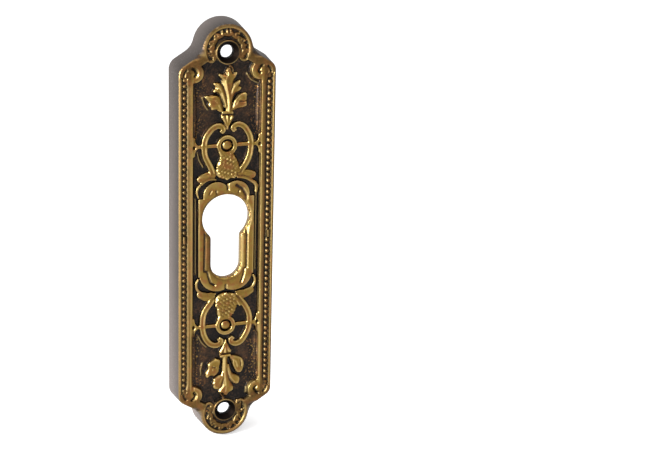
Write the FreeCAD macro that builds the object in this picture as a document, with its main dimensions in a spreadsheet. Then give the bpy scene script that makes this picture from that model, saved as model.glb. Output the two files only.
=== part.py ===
"""Keyhole escutcheon for a profile-cylinder door lock: one casting in brass.

The plate is a shallow hollow box with a domed lug at each end. It is screwed to the door through the two
lugs, and the lock's cylinder shows through the keyhole in its middle. The face is cast in relief: a plain
rim, a row of beads down each side, an inner ridge that ends in a volute at each corner, and on the sunk
ground between them a leaf spray, a ring of scrolls round a rosette, and a bud, above the keyhole's frame and
again below it.

Frame, in millimetres: X across the plate, Z up the plate, and the face looks along -Y. The back, which lies
on the door, is the plane Y = 0, and the origin is at its middle, halfway between the screws. A "height" in
this file is the distance in front of the door, so a point at height h has Y = -h.
"""
import FreeCAD, Part

import math
import os

from FreeCAD import Vector
from Sketcher import Constraint

SIZES = [
    ("plate_width", 38.8, "across the face, over the plain rims"),
    ("hole_spacing", 148.2, "between the two screw holes"),
    ("dome_lift", 0.9, "how much further out the domes' centres are than the screw holes"),
    ("dome_radius", 10.0, "of each end lug"),
    ("plate_depth", 12.0, "from the door to the top of the rim"),
    ("back_spread", 0.9, "how much further out the back edge is than the front edge: the mould's draft"),
    ("corner_drop", 8.9, "from a dome's centre to the level of the corner arcs' centres"),
    ("corner_radius", 4.0, "where a side turns into a shoulder"),
    ("neck_radius", 8.0, "of the hollow curve between a shoulder and a dome"),
    ("shoulder_angle", 32.0, "of the shoulders, from the horizontal, in degrees"),
    ("wall", 2.4, "thickness of the side walls at the face"),
    ("wall_taper", 0.7, "how much thinner the side walls are at the door"),
    ("ground_depth", 2.0, "from the rim down to the sunk ground"),
    ("skin", 2.0, "metal left behind the sunk ground"),
    ("rim_width", 1.1, "of the plain rim"),
    ("rim_bevel", 0.45, "of the rim's outer edge"),
    ("channel_width", 2.2, "of the channel that holds the beads"),
    ("channel_depth", 1.2, "of the channel that holds the beads"),
    ("channel_stop", 1.1, "from the level of the corner arcs' centres to the channels' far ends"),
    ("channel_break", 3.0, "length of the plain bridge halfway up each row of beads"),
    ("bead_width", 1.75, "across one bead"),
    ("bead_rise", 1.0, "of a bead above its channel's floor"),
    ("bead_pitch", 2.35, "from bead to bead"),
    ("ridge_width", 2.2, "of the inner ridge, on top"),
    ("ridge_slope", 0.8, "how far the ridge's inner side leans out at the ground"),
    ("panel_gap", 4.2, "from a dome's centre to the sunk ground's straight end"),
    ("panel_end_width", 16.6, "of those straight ends"),
    ("screw_radius", 2.6, "of the two screw holes"),
    ("sink_radius", 4.3, "of the screw holes' countersinks"),
    ("hole_ring", 0.35, "width of the thin ring round each countersink"),
    ("dome_rim", 1.6, "width of the rim round each dome"),
    ("dome_sink", 1.2, "depth of the sunk ring in each dome"),
    ("key_radius", 9.5, "of the keyhole's round part"),
    ("key_slot", 12.0, "width of the keyhole's slot"),
    ("key_centre", 7.6, "height of the round part's centre above the middle"),
    ("key_length", 34.5, "of the whole keyhole, from top to bottom"),
    ("key_blend", 2.0, "radius of the corners between the keyhole's round part and its slot"),
    ("key_bevel", 1.4, "width of the bevel round the keyhole"),
    ("key_bevel_depth", 0.8, "depth of that bevel"),
    ("frame_wall", 1.8, "width of the keyhole's frame beside the round part"),
    ("frame_step", 1.0, "from the keyhole's top down to the upper ends of the frame's straight sides"),
    ("frame_heel", 1.3, "from the keyhole's bottom up to the lower ends of the frame's straight sides"),
    ("frame_drop", 0.4, "how far the frame lies below the rim"),
    ("lobe_radius", 5.4, "of the frame's two upper lobes"),
    ("lobe_offset", 4.0, "of the upper lobes' centres from the middle line"),
    ("lobe_rise", 0.2, "of the upper lobes' centres above the keyhole's top"),
    ("foot_radius", 7.5, "of the frame's two lower lobes"),
    ("foot_offset", 3.3, "of the lower lobes' centres from the middle line"),
    ("foot_rise", 2.3, "of the lower lobes' centres above the keyhole's bottom"),
    ("rosette_reach", 13.8, "from a bud's foot to its rosette's centre"),
    ("rosette_radius", 4.2, "of a rosette's outer ring"),
    ("scroll_radius", 9.5, "of the ring of scrolls, on the bands' middle line"),
    ("scroll_width", 2.3, "of the scrolls' bands"),
    ("scroll_rise", 1.75, "of the scrolls' bands above the ground"),
    ("bar_width", 1.3, "of the bars between rosette, scrolls and ridge"),
    ("volute_radius", 3.6, "of the volute at each corner"),
    ("volute_inset", 6.1, "of the volutes' centres from the plate's side"),
    ("volute_lift", 0.4, "how much further out the volutes' centres are than the corner arcs' centres"),
    ("eye_inset", 5.4, "of the volutes' eyes from the plate's side"),
    ("eye_radius", 1.7, "of a volute's eye"),
    ("eye_groove", 0.8, "width and depth of the groove round an eye"),
    ("leaf_rise", 2.1, "of the leaves above the ground"),
    ("bud_rise", 2.3, "of the buds above the ground"),
    ("bud_width", 8.8, "of the buds where they are broadest"),
    ("bud_gap", 0.7, "from the tips of the frame's lobes to the buds' broad ends"),
    ("spray_reach", 13.3, "from a rosette's centre to its leaf spray's collar"),
    ("root", 0.4, "how deep each ornament is rooted in the ground"),
]

doc = FreeCAD.newDocument("keyhole_escutcheon")
sheet = doc.addObject("Spreadsheet::Sheet", "Sizes")
for row, (alias, value, note) in enumerate(SIZES, start=1):
    sheet.set(f"A{row}", alias)
    sheet.set(f"B{row}", str(value))
    sheet.set(f"C{row}", note)
    sheet.setAlias(f"B{row}", alias)
doc.recompute()


def size(alias):
    """The value of one cell of the sheet."""
    return float(getattr(sheet, alias))


GROUND = size("plate_depth") - size("ground_depth")
CEILING = GROUND - size("skin")
CHANNEL_FLOOR = size("plate_depth") - size("channel_depth")
KEY_TOP = size("key_centre") + size("key_radius")
KEY_BOTTOM = KEY_TOP - size("key_length")
FRAME_TOP = size("plate_depth") - size("frame_drop")
HALF_WIDTH = size("plate_width") / 2
DOME_HEIGHT = size("hole_spacing") / 2 + size("dome_lift")
RIDGE_OUTSIDE = HALF_WIDTH - size("rim_width") - size("channel_width")
RIDGE_INSIDE = RIDGE_OUTSIDE - size("ridge_width")
CORNER_HEIGHT = DOME_HEIGHT - size("corner_drop")
VOLUTE_HEIGHT = CORNER_HEIGHT + size("volute_lift")
PANEL_END = DOME_HEIGHT - size("panel_gap")
LOBE_TIP = KEY_TOP + size("lobe_rise") + size("lobe_radius")
FOOT_TIP = -KEY_BOTTOM - size("foot_rise") + size("foot_radius")
DOME_TEXT = "Sizes.hole_spacing / 2 + Sizes.dome_lift"
CORNER_TEXT = f"{DOME_TEXT} - Sizes.corner_drop"
KEY_TOP_TEXT = "Sizes.key_centre + Sizes.key_radius"
KEY_BOTTOM_TEXT = "Sizes.key_length - Sizes.key_centre - Sizes.key_radius"
QUARTERS = [(1, 1), (-1, 1), (-1, -1), (1, -1)]


def at(x, z, height):
    """A point x across and z up the plate, at a height in front of the door."""
    return Vector(x, -height, z)


# Sketches on the face


def face_sketch(body, name, height):
    """A sketch parallel to the door, at the height that the expression gives."""
    sketch = body.newObject("Sketcher::SketchObject", name)
    plane = next(f for f in body.Origin.OriginFeatures if f.Role == "XZ_Plane")
    sketch.AttachmentSupport = [(plane, "")]
    sketch.MapMode = "FlatFace"
    sketch.setExpression("AttachmentOffset.Base.z", height)
    return sketch


def bind(sketch, constraint, expression):
    """Adds a driving constraint and ties it to the sheet."""
    index = sketch.addConstraint(constraint)
    sketch.setExpression(f"Constraints[{index}]", expression)
    return index


def arc(centre, radius, start, end):
    """An arc that runs from the start angle to the end angle, counter-clockwise, in radians."""
    circle = Part.Circle(Vector(*centre, 0), Vector(0, 0, 1), radius)
    return Part.ArcOfCircle(circle, start, end)


def line(a, b):
    return Part.LineSegment(Vector(*a, 0), Vector(*b, 0))


SHOULDER_TURNS = {
    (1, 1): (180 - size("shoulder_angle"), "180 - Sizes.shoulder_angle"),
    (-1, 1): (size("shoulder_angle") - 180, "Sizes.shoulder_angle - 180"),
    (-1, -1): (-size("shoulder_angle"), "-Sizes.shoulder_angle"),
    (1, -1): (size("shoulder_angle"), "Sizes.shoulder_angle"),
}


def outline_sketch(body, name, height, grow, grow_text):
    """The plate's outline, moved outwards by grow: sides, corner arcs, shoulders, hollow necks and domes."""
    sketch = face_sketch(body, name, height)
    lean = math.radians(size("shoulder_angle"))
    corner = size("corner_radius") + grow
    neck = size("neck_radius") - grow
    dome = size("dome_radius") + grow
    corner_x = HALF_WIDTH - size("corner_radius")
    corner_z = CORNER_HEIGHT

    # The neck's centre lies its own radius outside the shoulder, and touches the dome's arc from outside
    out = (math.sin(lean), math.cos(lean))
    along = (-math.cos(lean), math.sin(lean))
    reach = size("corner_radius") + size("neck_radius")
    foot = (corner_x + out[0] * reach, corner_z + out[1] * reach)
    off = (foot[0], foot[1] - DOME_HEIGHT)
    span = size("dome_radius") + size("neck_radius")
    b = off[0] * along[0] + off[1] * along[1]
    run = -b - math.sqrt(b * b - (off[0] ** 2 + off[1] ** 2 - span**2))
    neck_x = foot[0] + along[0] * run
    neck_z = foot[1] + along[1] * run
    neck_angle = math.atan2(neck_z - DOME_HEIGHT, neck_x)

    shoulder_low = (corner_x + out[0] * corner, corner_z + out[1] * corner)
    shoulder_high = (neck_x - out[0] * neck, neck_z - out[1] * neck)
    quarter = math.pi / 2
    edges = []
    roles = []
    for sx, sz in QUARTERS:
        # Two quarters are run through backwards, to keep one direction round the plate
        forwards = sx == sz
        turn = 0 if sz > 0 else math.pi

        def place(angle, sx=sx, sz=sz):
            """An angle of the first quarter, in this quarter."""
            return math.atan2(sz * math.sin(angle), sx * math.cos(angle))

        def stretch(centre, radius, low, high, sx=sx, sz=sz, forwards=forwards):
            c = (sx * centre[0], sz * centre[1])
            ends = (place(low), place(high)) if forwards else (place(high), place(low))
            return arc(c, radius, *ends)

        corner_arc = stretch((corner_x, corner_z), corner, 0, quarter - lean)
        a = (sx * shoulder_low[0], sz * shoulder_low[1])
        c = (sx * shoulder_high[0], sz * shoulder_high[1])
        shoulder = line(a, c) if forwards else line(c, a)
        back = math.atan2(-out[1], -out[0])
        neck_arc = stretch((neck_x, neck_z), neck, neck_angle - math.pi, back)
        group = [(corner_arc, "corner"), (shoulder, "shoulder"), (neck_arc, "neck")]
        if not forwards:
            group.reverse()
        if forwards:
            dome_arc = arc((0, sz * DOME_HEIGHT), dome, turn + neck_angle, turn + math.pi - neck_angle)
            group.append((dome_arc, "dome"))
        else:
            side_x = sx * (HALF_WIDTH + grow)
            group.append((line((side_x, sz * corner_z), (side_x, -sz * corner_z)), "side"))
        for edge, role in group:
            edges.append(edge)
            roles.append((role, sx, sz))
    sketch.addGeometry(edges, False)

    def ends(index):
        """The numbers of an edge's first and last points, going round the plate."""
        role, sx, sz = roles[index]
        return (2, 1) if role == "neck" else (1, 2)

    count = len(edges)
    for i in range(count):
        j = (i + 1) % count
        sketch.addConstraint(Constraint("Tangent", i, ends(i)[1], j, ends(j)[0]))
    for i, (role, sx, sz) in enumerate(roles):
        if role == "dome":
            bind(sketch, Constraint("Radius", i, dome), f"Sizes.dome_radius + {grow_text}")
            sketch.addConstraint(Constraint("PointOnObject", i, 3, -2))
            low, high = ((-1, 1), (i, 3)) if sz > 0 else ((i, 3), (-1, 1))
            bind(sketch, Constraint("DistanceY", *low, *high, DOME_HEIGHT), DOME_TEXT)
        elif role == "neck":
            bind(sketch, Constraint("Radius", i, neck), f"Sizes.neck_radius - ({grow_text})")
        elif role == "corner":
            bind(sketch, Constraint("Radius", i, corner), f"Sizes.corner_radius + {grow_text}")
            low, high = ((-1, 1), (i, 3)) if sz > 0 else ((i, 3), (-1, 1))
            bind(sketch, Constraint("DistanceY", *low, *high, corner_z), CORNER_TEXT)
        elif role == "side":
            sketch.addConstraint(Constraint("Vertical", i))
            low, high = ((-1, 1), (i, 1)) if sx > 0 else ((i, 1), (-1, 1))
            reach_text = f"Sizes.plate_width / 2 + {grow_text}"
            bind(sketch, Constraint("DistanceX", *low, *high, HALF_WIDTH + grow), reach_text)
        elif role == "shoulder":
            turn, text = SHOULDER_TURNS[(sx, sz)]
            bind(sketch, Constraint("Angle", i, math.radians(turn)), text)
    return sketch


def pin(sketch, axis, edge, point, value, expression):
    """Holds a point at a distance from the origin, across (X) or up (Y) the sketch."""
    origin, spot = (-1, 1), (edge, point)
    low, high = (origin, spot) if value >= 0 else (spot, origin)
    bind(sketch, Constraint(f"Distance{axis}", *low, *high, abs(value)), expression)


def keyhole_sketch(body, name, height, grow, grow_text):
    """The keyhole for a profile cylinder, widened by grow: a round part above a slot with a round end."""
    sketch = face_sketch(body, name, height)
    radius = size("key_radius") + grow
    half = size("key_slot") / 2 + grow
    blend = size("key_blend") - grow
    centre = size("key_centre")
    end = KEY_BOTTOM + size("key_slot") / 2
    blend_z = centre - math.sqrt((radius + blend) ** 2 - (half + blend) ** 2)
    meet = math.atan2(centre - blend_z, half + blend)
    edges = [
        line((half, end), (half, blend_z)),
        arc((half + blend, blend_z), blend, math.pi - meet, math.pi),
        arc((0, centre), radius, -meet, math.pi + meet),
        arc((-half - blend, blend_z), blend, 0, meet),
        line((-half, blend_z), (-half, end)),
        arc((0, end), half, math.pi, 2 * math.pi),
    ]
    sketch.addGeometry(edges, False)
    turned = (1, 3)
    for i in range(len(edges)):
        j = (i + 1) % len(edges)
        last = 1 if i in turned else 2
        first = 2 if j in turned else 1
        sketch.addConstraint(Constraint("Tangent", i, last, j, first))
    sketch.addConstraint(Constraint("Vertical", 0))
    sketch.addConstraint(Constraint("Vertical", 4))
    for i in turned:
        bind(sketch, Constraint("Radius", i, blend), f"Sizes.key_blend - ({grow_text})")
    bind(sketch, Constraint("Radius", 2, radius), f"Sizes.key_radius + {grow_text}")
    bind(sketch, Constraint("Radius", 5, half), f"Sizes.key_slot / 2 + {grow_text}")
    for i in (2, 5):
        sketch.addConstraint(Constraint("PointOnObject", i, 3, -2))
    pin(sketch, "Y", 2, 3, centre, "Sizes.key_centre")
    low_text = "Sizes.key_length - Sizes.key_centre - Sizes.key_radius - Sizes.key_slot / 2"
    pin(sketch, "Y", 5, 3, end, low_text)
    return sketch


def frame_outline_sketch(body, name, height):
    """The keyhole frame's outline: straight sides, two lobes above and two broader ones below."""
    sketch = face_sketch(body, name, height)
    side = size("key_radius") + size("frame_wall")
    side_text = "Sizes.key_radius + Sizes.frame_wall"
    upper = KEY_TOP - size("frame_step")
    lower = -KEY_BOTTOM - size("frame_heel")
    lobe_text = f"{KEY_TOP_TEXT} + Sizes.lobe_rise"
    foot_text = f"{KEY_BOTTOM_TEXT} - Sizes.foot_rise"
    parts = (
        ("lobe", 1, upper, f"{KEY_TOP_TEXT} - Sizes.frame_step", KEY_TOP + size("lobe_rise"), lobe_text),
        ("foot", -1, lower, f"{KEY_BOTTOM_TEXT} - Sizes.frame_heel", -KEY_BOTTOM - size("foot_rise"),
         foot_text),
    )
    edges = []
    for word, sz, level, _, rise, _ in parts:
        radius = size(f"{word}_radius")
        offset = size(f"{word}_offset")
        low = math.asin((level - rise) / radius)
        reach = offset + radius * math.cos(low)
        notch = math.pi - math.acos(offset / radius)
        right = arc((sz * offset, sz * rise), radius, low, notch)
        left = arc((-sz * offset, sz * rise), radius, math.pi - notch, math.pi - low)
        if sz < 0:
            right = arc((-offset, -rise), radius, math.pi + low, math.pi + notch)
            left = arc((offset, -rise), radius, 2 * math.pi - notch, 2 * math.pi - low)
        other = lower if sz > 0 else upper
        edges.append(line((sz * side, -sz * other), (sz * side, sz * level)))
        edges.append(line((sz * side, sz * level), (sz * reach, sz * level)))
        edges.append(right)
        edges.append(left)
        edges.append(line((-sz * reach, sz * level), (-sz * side, sz * level)))
    sketch.addGeometry(edges, False)
    count = len(edges)
    for i in range(count):
        sketch.addConstraint(Constraint("Coincident", i, 2, (i + 1) % count, 1))
    for start, (word, sz, level, level_text, rise, rise_text) in zip((0, 5), parts):
        sketch.addConstraint(Constraint("Vertical", start))
        sketch.addConstraint(Constraint("Horizontal", start + 1))
        sketch.addConstraint(Constraint("Horizontal", start + 4))
        pin(sketch, "X", start, 1, sz * side, side_text)
        pin(sketch, "Y", start, 2, sz * level, level_text)
        pin(sketch, "Y", start + 4, 2, sz * level, level_text)
        for turn, edge in ((1, start + 2), (-1, start + 3)):
            bind(sketch, Constraint("Radius", edge, size(f"{word}_radius")), f"Sizes.{word}_radius")
            pin(sketch, "X", edge, 3, turn * sz * size(f"{word}_offset"), f"Sizes.{word}_offset")
            pin(sketch, "Y", edge, 3, sz * rise, rise_text)
    return sketch


def panel_sketch(body, name, height, grow, grow_text):
    """The sunk ground's outline, moved outwards by grow; it steps in round the four volutes."""
    sketch = face_sketch(body, name, height)
    side = RIDGE_INSIDE + grow
    volute_x = HALF_WIDTH - size("volute_inset")
    volute_z = VOLUTE_HEIGHT
    radius = size("volute_radius") - grow
    top = PANEL_END
    lean = math.radians(size("shoulder_angle"))
    low = math.atan2(-math.sqrt(radius**2 - (side - volute_x) ** 2), side - volute_x)
    tip_x = size("panel_end_width") / 2 + grow

    # The slanted edge, parallel to the shoulder, runs from the straight end to the volute's arc
    along = (math.cos(lean), -math.sin(lean))
    off = (tip_x - volute_x, top - volute_z)
    b = off[0] * along[0] + off[1] * along[1]
    run = -b - math.sqrt(b * b - (off[0] ** 2 + off[1] ** 2 - radius**2))
    spot = (tip_x + run * along[0], top + run * along[1])
    high = math.atan2(spot[1] - volute_z, spot[0] - volute_x)
    edges = []
    for sz in (1, -1):
        turn = 0 if sz > 0 else math.pi
        edges.append(line((sz * side, -sz * (volute_z + radius * math.sin(low))),
                          (sz * side, sz * (volute_z + radius * math.sin(low)))))
        edges.append(arc((sz * volute_x, sz * volute_z), radius, turn + high, turn + low + 2 * math.pi))
        edges.append(line((sz * spot[0], sz * spot[1]), (sz * tip_x, sz * top)))
        edges.append(line((sz * tip_x, sz * top), (-sz * tip_x, sz * top)))
        edges.append(line((-sz * tip_x, sz * top), (-sz * spot[0], sz * spot[1])))
        edges.append(arc((-sz * volute_x, sz * volute_z), radius, turn + math.pi - low - 2 * math.pi,
                         turn + math.pi - high))
    sketch.addGeometry(edges, False)
    turned = (1, 5, 7, 11)
    count = len(edges)
    for i in range(count):
        j = (i + 1) % count
        last = 1 if i in turned else 2
        first = 2 if j in turned else 1
        sketch.addConstraint(Constraint("Coincident", i, last, j, first))
    radius_text = f"Sizes.volute_radius - ({grow_text})"
    across = "Sizes.plate_width / 2 - Sizes.volute_inset"
    inside = "Sizes.plate_width / 2 - Sizes.rim_width - Sizes.channel_width - Sizes.ridge_width"
    for start, sz in ((0, 1), (6, -1)):
        sketch.addConstraint(Constraint("Vertical", start))
        sketch.addConstraint(Constraint("Horizontal", start + 3))
        pin(sketch, "X", start, 1, sz * side, f"{inside} + {grow_text}")
        pin(sketch, "Y", start + 3, 1, sz * top, f"{DOME_TEXT} - Sizes.panel_gap")
        for turn, point in ((1, 1), (-1, 2)):
            end_text = f"Sizes.panel_end_width / 2 + {grow_text}"
            pin(sketch, "X", start + 3, point, turn * sz * tip_x, end_text)
        for turn, edge in ((1, start + 1), (-1, start + 5)):
            bind(sketch, Constraint("Radius", edge, radius), radius_text)
            pin(sketch, "X", edge, 3, turn * sz * volute_x, across)
            pin(sketch, "Y", edge, 3, sz * volute_z, f"{CORNER_TEXT} + Sizes.volute_lift")
        for edge in (start + 2, start + 4):
            flip = 1 if edge == start + 2 else -1
            angle, text = SHOULDER_TURNS[(flip * sz, sz)]
            bind(sketch, Constraint("Angle", edge, math.radians(angle)), text)
    return sketch


# The casting without its ornament


def stadium_sketch(body, name, height):
    """The two bead channels of one side: straight, with round ends, and a plain bridge between them."""
    sketch = face_sketch(body, name, height)
    radius = size("channel_width") / 2
    middle = RIDGE_OUTSIDE + radius
    gap = size("channel_break") / 2 + radius
    end = CORNER_HEIGHT - size("channel_stop") - radius
    edges = []
    for low, high in ((gap, end), (-end, -gap)):
        edges.append(line((middle + radius, low), (middle + radius, high)))
        edges.append(arc((middle, high), radius, 0, math.pi))
        edges.append(line((middle - radius, high), (middle - radius, low)))
        edges.append(arc((middle, low), radius, math.pi, 2 * math.pi))
    sketch.addGeometry(edges, False)
    across = "Sizes.plate_width / 2 - Sizes.rim_width - Sizes.channel_width / 2"
    gap_text = "(Sizes.channel_break + Sizes.channel_width) / 2"
    end_text = f"{CORNER_TEXT} - Sizes.channel_stop - Sizes.channel_width / 2"
    for start, sz in ((0, 1), (4, -1)):
        for i in range(4):
            sketch.addConstraint(Constraint("Tangent", start + i, 2, start + (i + 1) % 4, 1))
        far, near = (start + 1, start + 3) if sz > 0 else (start + 3, start + 1)
        bind(sketch, Constraint("Radius", start + 1, radius), "Sizes.channel_width / 2")
        pin(sketch, "X", far, 3, middle, across)
        pin(sketch, "X", near, 3, middle, across)
        pin(sketch, "Y", far, 3, sz * end, end_text)
        pin(sketch, "Y", near, 3, sz * gap, gap_text)
    return sketch


def between(body, kind, name, low, high):
    """A ruled loft between two sketches."""
    loft = body.newObject(f"PartDesign::{kind}Loft", name)
    loft.Profile = low
    loft.Sections = [high]
    loft.Ruled = True
    loft.Refine = False
    return loft


def pocket(body, name, sketch, depth=None):
    """A pocket from the sketch towards the door: as deep as the expression says, or right through."""
    cut = body.newObject("PartDesign::Pocket", name)
    cut.Profile = sketch
    cut.Refine = False
    if depth is None:
        cut.Type = "ThroughAll"
    else:
        cut.setExpression("Length", depth)
    return cut


def primitive(body, kind, name, sizes, across, up, height):
    """A cylinder or cone that stands out from the door at a place on the face."""
    solid = body.newObject(f"PartDesign::{kind}", name)
    plane = next(f for f in body.Origin.OriginFeatures if f.Role == "XZ_Plane")
    solid.AttachmentSupport = [(plane, "")]
    solid.MapMode = "FlatFace"
    solid.Refine = False
    solid.setExpression("AttachmentOffset.Base.x", across)
    solid.setExpression("AttachmentOffset.Base.y", up)
    solid.setExpression("AttachmentOffset.Base.z", height)
    for key, text in sizes.items():
        solid.setExpression(key, text)
    return solid


def make_casting():
    """The hollow plate with its rims, channels, sunk ground, keyhole frame and holes."""
    body = doc.addObject("PartDesign::Body", "casting")
    spread = size("back_spread")
    back = outline_sketch(body, "outline_back", "0", spread, "Sizes.back_spread")
    front = outline_sketch(body, "outline_front", "Sizes.plate_depth - Sizes.rim_bevel", 0.0, "0")
    between(body, "Additive", "block", back, front)
    edge = outline_sketch(body, "outline_edge", "Sizes.plate_depth", -size("rim_bevel"), "-Sizes.rim_bevel")
    between(body, "Additive", "rim_bevel_block", front, edge)

    inset = spread - size("wall") + size("wall_taper")
    inset_text = "Sizes.back_spread - Sizes.wall + Sizes.wall_taper"
    mouth = outline_sketch(body, "hollow_mouth", "0", inset, inset_text)
    ceiling_text = "Sizes.plate_depth - Sizes.ground_depth - Sizes.skin"
    roof = outline_sketch(body, "hollow_roof", ceiling_text, -size("wall"), "-Sizes.wall")
    between(body, "Subtractive", "hollow", mouth, roof)

    ground_text = "Sizes.plate_depth - Sizes.ground_depth"
    sunk_low = panel_sketch(body, "sunk_low", ground_text, -size("ridge_slope"), "-Sizes.ridge_slope")
    sunk_top = panel_sketch(body, "sunk_top", "Sizes.plate_depth", 0.0, "0")
    between(body, "Subtractive", "sunk_ground", sunk_low, sunk_top)

    channels = stadium_sketch(body, "channel_outline", "Sizes.plate_depth")
    cut = pocket(body, "channels", channels, "Sizes.channel_depth")
    other = body.newObject("PartDesign::Mirrored", "channels_mirrored")
    other.Originals = [cut]
    other.Refine = False
    other.MirrorPlane = (next(f for f in body.Origin.OriginFeatures if f.Role == "YZ_Plane"), [""])
    body.Tip = other

    sink_text = "Sizes.plate_depth - Sizes.dome_sink"
    for word, sign in (("upper", ""), ("lower", "-")):
        ring = {"Radius": "Sizes.dome_radius - Sizes.dome_rim", "Height": "Sizes.dome_sink"}
        middle = ("0", f"{sign}({DOME_TEXT})")
        primitive(body, "SubtractiveCylinder", f"{word}_dome_ring", ring, *middle, sink_text)
        place = ("0", f"{sign}Sizes.hole_spacing / 2")
        lip = {"Radius": "Sizes.sink_radius + Sizes.hole_ring", "Height": "Sizes.ground_depth"}
        primitive(body, "AdditiveCylinder", f"{word}_hole_lip", lip, *place, ground_text)

    frame_text = "Sizes.plate_depth - Sizes.frame_drop"
    frame = frame_outline_sketch(body, "frame_outline", ground_text)
    pad = body.newObject("PartDesign::Pad", "keyhole_frame")
    pad.Profile = frame
    pad.Refine = False
    pad.setExpression("Length", "Sizes.ground_depth - Sizes.frame_drop")

    pocket(body, "keyhole", keyhole_sketch(body, "keyhole_outline", frame_text, 0.0, "0"))
    bevel_text = f"{frame_text} - Sizes.key_bevel_depth"
    bevel_low = keyhole_sketch(body, "bevel_low", bevel_text, 0.0, "0")
    bevel_top = keyhole_sketch(body, "bevel_top", frame_text, size("key_bevel"), "Sizes.key_bevel")
    between(body, "Subtractive", "keyhole_bevel", bevel_low, bevel_top)

    across = "Sizes.plate_width / 2 - Sizes.eye_inset"
    ring = {"Radius": "Sizes.eye_radius + Sizes.eye_groove", "Height": "Sizes.eye_groove"}
    eye_text = "Sizes.plate_depth - Sizes.eye_groove"
    for number, (sx, sz) in enumerate(QUARTERS, start=1):
        place = (f"{sx} * ({across})", f"{sz} * ({CORNER_TEXT} + Sizes.volute_lift)")
        primitive(body, "SubtractiveCylinder", f"eye_groove_{number}", ring, *place, eye_text)

    sink_low = "Sizes.plate_depth - Sizes.sink_radius + Sizes.screw_radius"
    sink = {"Radius1": "Sizes.screw_radius", "Radius2": "Sizes.sink_radius",
            "Height": "Sizes.sink_radius - Sizes.screw_radius"}
    hole = {"Radius": "Sizes.screw_radius", "Height": "Sizes.plate_depth"}
    for word, sign in (("upper", ""), ("lower", "-")):
        place = ("0", f"{sign}Sizes.hole_spacing / 2")
        primitive(body, "SubtractiveCone", f"{word}_countersink", sink, *place, sink_low)
        primitive(body, "SubtractiveCylinder", f"{word}_screw_hole", hole, *place, "0")
    return body


# The ornament: every piece is a solid of flat facets, rooted a little way into the ground


def skin(rings):
    """A solid over a row of rings, each a list of points; a ring of one point is a tip."""
    faces = []

    def face(*points):
        faces.append(Part.Face(Part.makePolygon([*points, points[0]])))

    def patch(a, b, c, d):
        """One flat face where the four points allow it, or else two triangles."""
        normal = (b - a).cross(c - a)
        if abs(normal.dot(d - a)) < 1e-9 * max(normal.Length, 1e-9):
            face(a, b, c, d)
        else:
            face(a, b, c)
            face(a, c, d)

    for near, far in zip(rings, rings[1:]):
        count = max(len(near), len(far))
        for i in range(count):
            j = (i + 1) % count
            if len(near) == 1:
                face(near[0], far[j], far[i])
            elif len(far) == 1:
                face(near[i], near[j], far[0])
            else:
                patch(near[i], near[j], far[j], far[i])
    for end in (rings[0], rings[-1]):
        if len(end) > 1:
            face(*end)
    shell = Part.makeShell(faces)
    shell.sewShape()
    solid = Part.makeSolid(shell)
    if solid.Volume < 0:
        solid.reverse()
    return solid


def curve(points, count):
    """Evenly spaced places along a smooth curve through a few points across and up the plate."""
    if len(points) == 2:
        (x0, z0), (x1, z1) = points
        steps = [i / (count - 1) for i in range(count)]
        return [(x0 + (x1 - x0) * t, z0 + (z1 - z0) * t) for t in steps]
    spline = Part.BSplineCurve()
    spline.interpolate([Vector(x, z, 0) for x, z in points])
    return [(v.x, v.y) for v in spline.discretize(count)]


def sides_of(path):
    """The unit vectors square to a path, one for each of its places."""
    normals = []
    for i in range(len(path)):
        (x0, z0), (x1, z1) = path[max(i - 1, 0)], path[min(i + 1, len(path) - 1)]
        length = math.hypot(x1 - x0, z1 - z0)
        normals.append(((z0 - z1) / length, (x1 - x0) / length))
    return normals


def band(points, width, rise, count=9, taper=1.0, base=None):
    """A raised strip with sloping sides along a curve; its far end is taper times as wide."""
    path = curve(points, count)
    foot = (GROUND if base is None else base) - size("root")
    top = (GROUND if base is None else base) + rise
    rings = []
    for i, ((x, z), (nx, nz)) in enumerate(zip(path, sides_of(path))):
        share = i / (count - 1)
        half = width / 2 * (1 + (taper - 1) * share)
        spots = ((-half, foot), (-half * 0.55, top), (half * 0.55, top), (half, foot))
        rings.append([at(x + nx * d, z + nz * d, level) for d, level in spots])
    return skin(rings)


def leaf(points, width, rise, full=0.4, count=5, base=None, shoulders=True):
    """A leaf along a curve from root to tip, ridged along its middle; full is its widest place."""
    path = curve(points, count)
    ground = GROUND if base is None else base
    foot = ground - size("root")
    power = math.log(0.5) / math.log(full)
    rings = []
    for i, ((x, z), (nx, nz)) in enumerate(zip(path, sides_of(path))):
        share = i / (count - 1)
        if i == count - 1:
            rings.append([at(x, z, foot)])
            continue
        half = width / 2 * max(math.sin(math.pi * share**power), 0.45 * (1 - share))
        crest = ground + rise * (0.75 + 0.25 * math.sin(math.pi * share))
        rim = ground + rise * 0.45
        spots = ((-half, foot), (0, crest), (half, foot))
        if shoulders:
            spots = ((-half, foot), (-half * 0.8, rim), (0, crest), (half * 0.8, rim), (half, foot))
        rings.append([at(x + nx * d, z + nz * d, level) for d, level in spots])
    return skin(rings)


def turned(x, z, profile, ground, sides):
    """A round form of flat facets; its profile lists distances from its axis and heights above the ground."""
    rings = []
    for reach, level in profile:
        turns = [2 * math.pi * (i + 0.5) / sides for i in range(sides)]
        spots = [(x + reach * math.cos(turn), z + reach * math.sin(turn)) for turn in turns]
        rings.append([at(*spot, ground + level) for spot in spots] if reach else [at(x, z, ground + level)])
    return skin(rings)


def button(x, z, radius, rise, base=None, sides=8):
    """A small domed boss, such as a bead or the end of a scroll."""
    profile = ((1.05 * radius, -size("root")), (0.9 * radius, 0.6 * rise), (0, rise))
    return turned(x, z, profile, GROUND if base is None else base, sides)


def right_and_left(shapes):
    """The shapes and their mirror images across the plate."""
    return shapes + [shape.mirror(Vector(0, 0, 0), Vector(1, 0, 0)) for shape in shapes]


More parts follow.
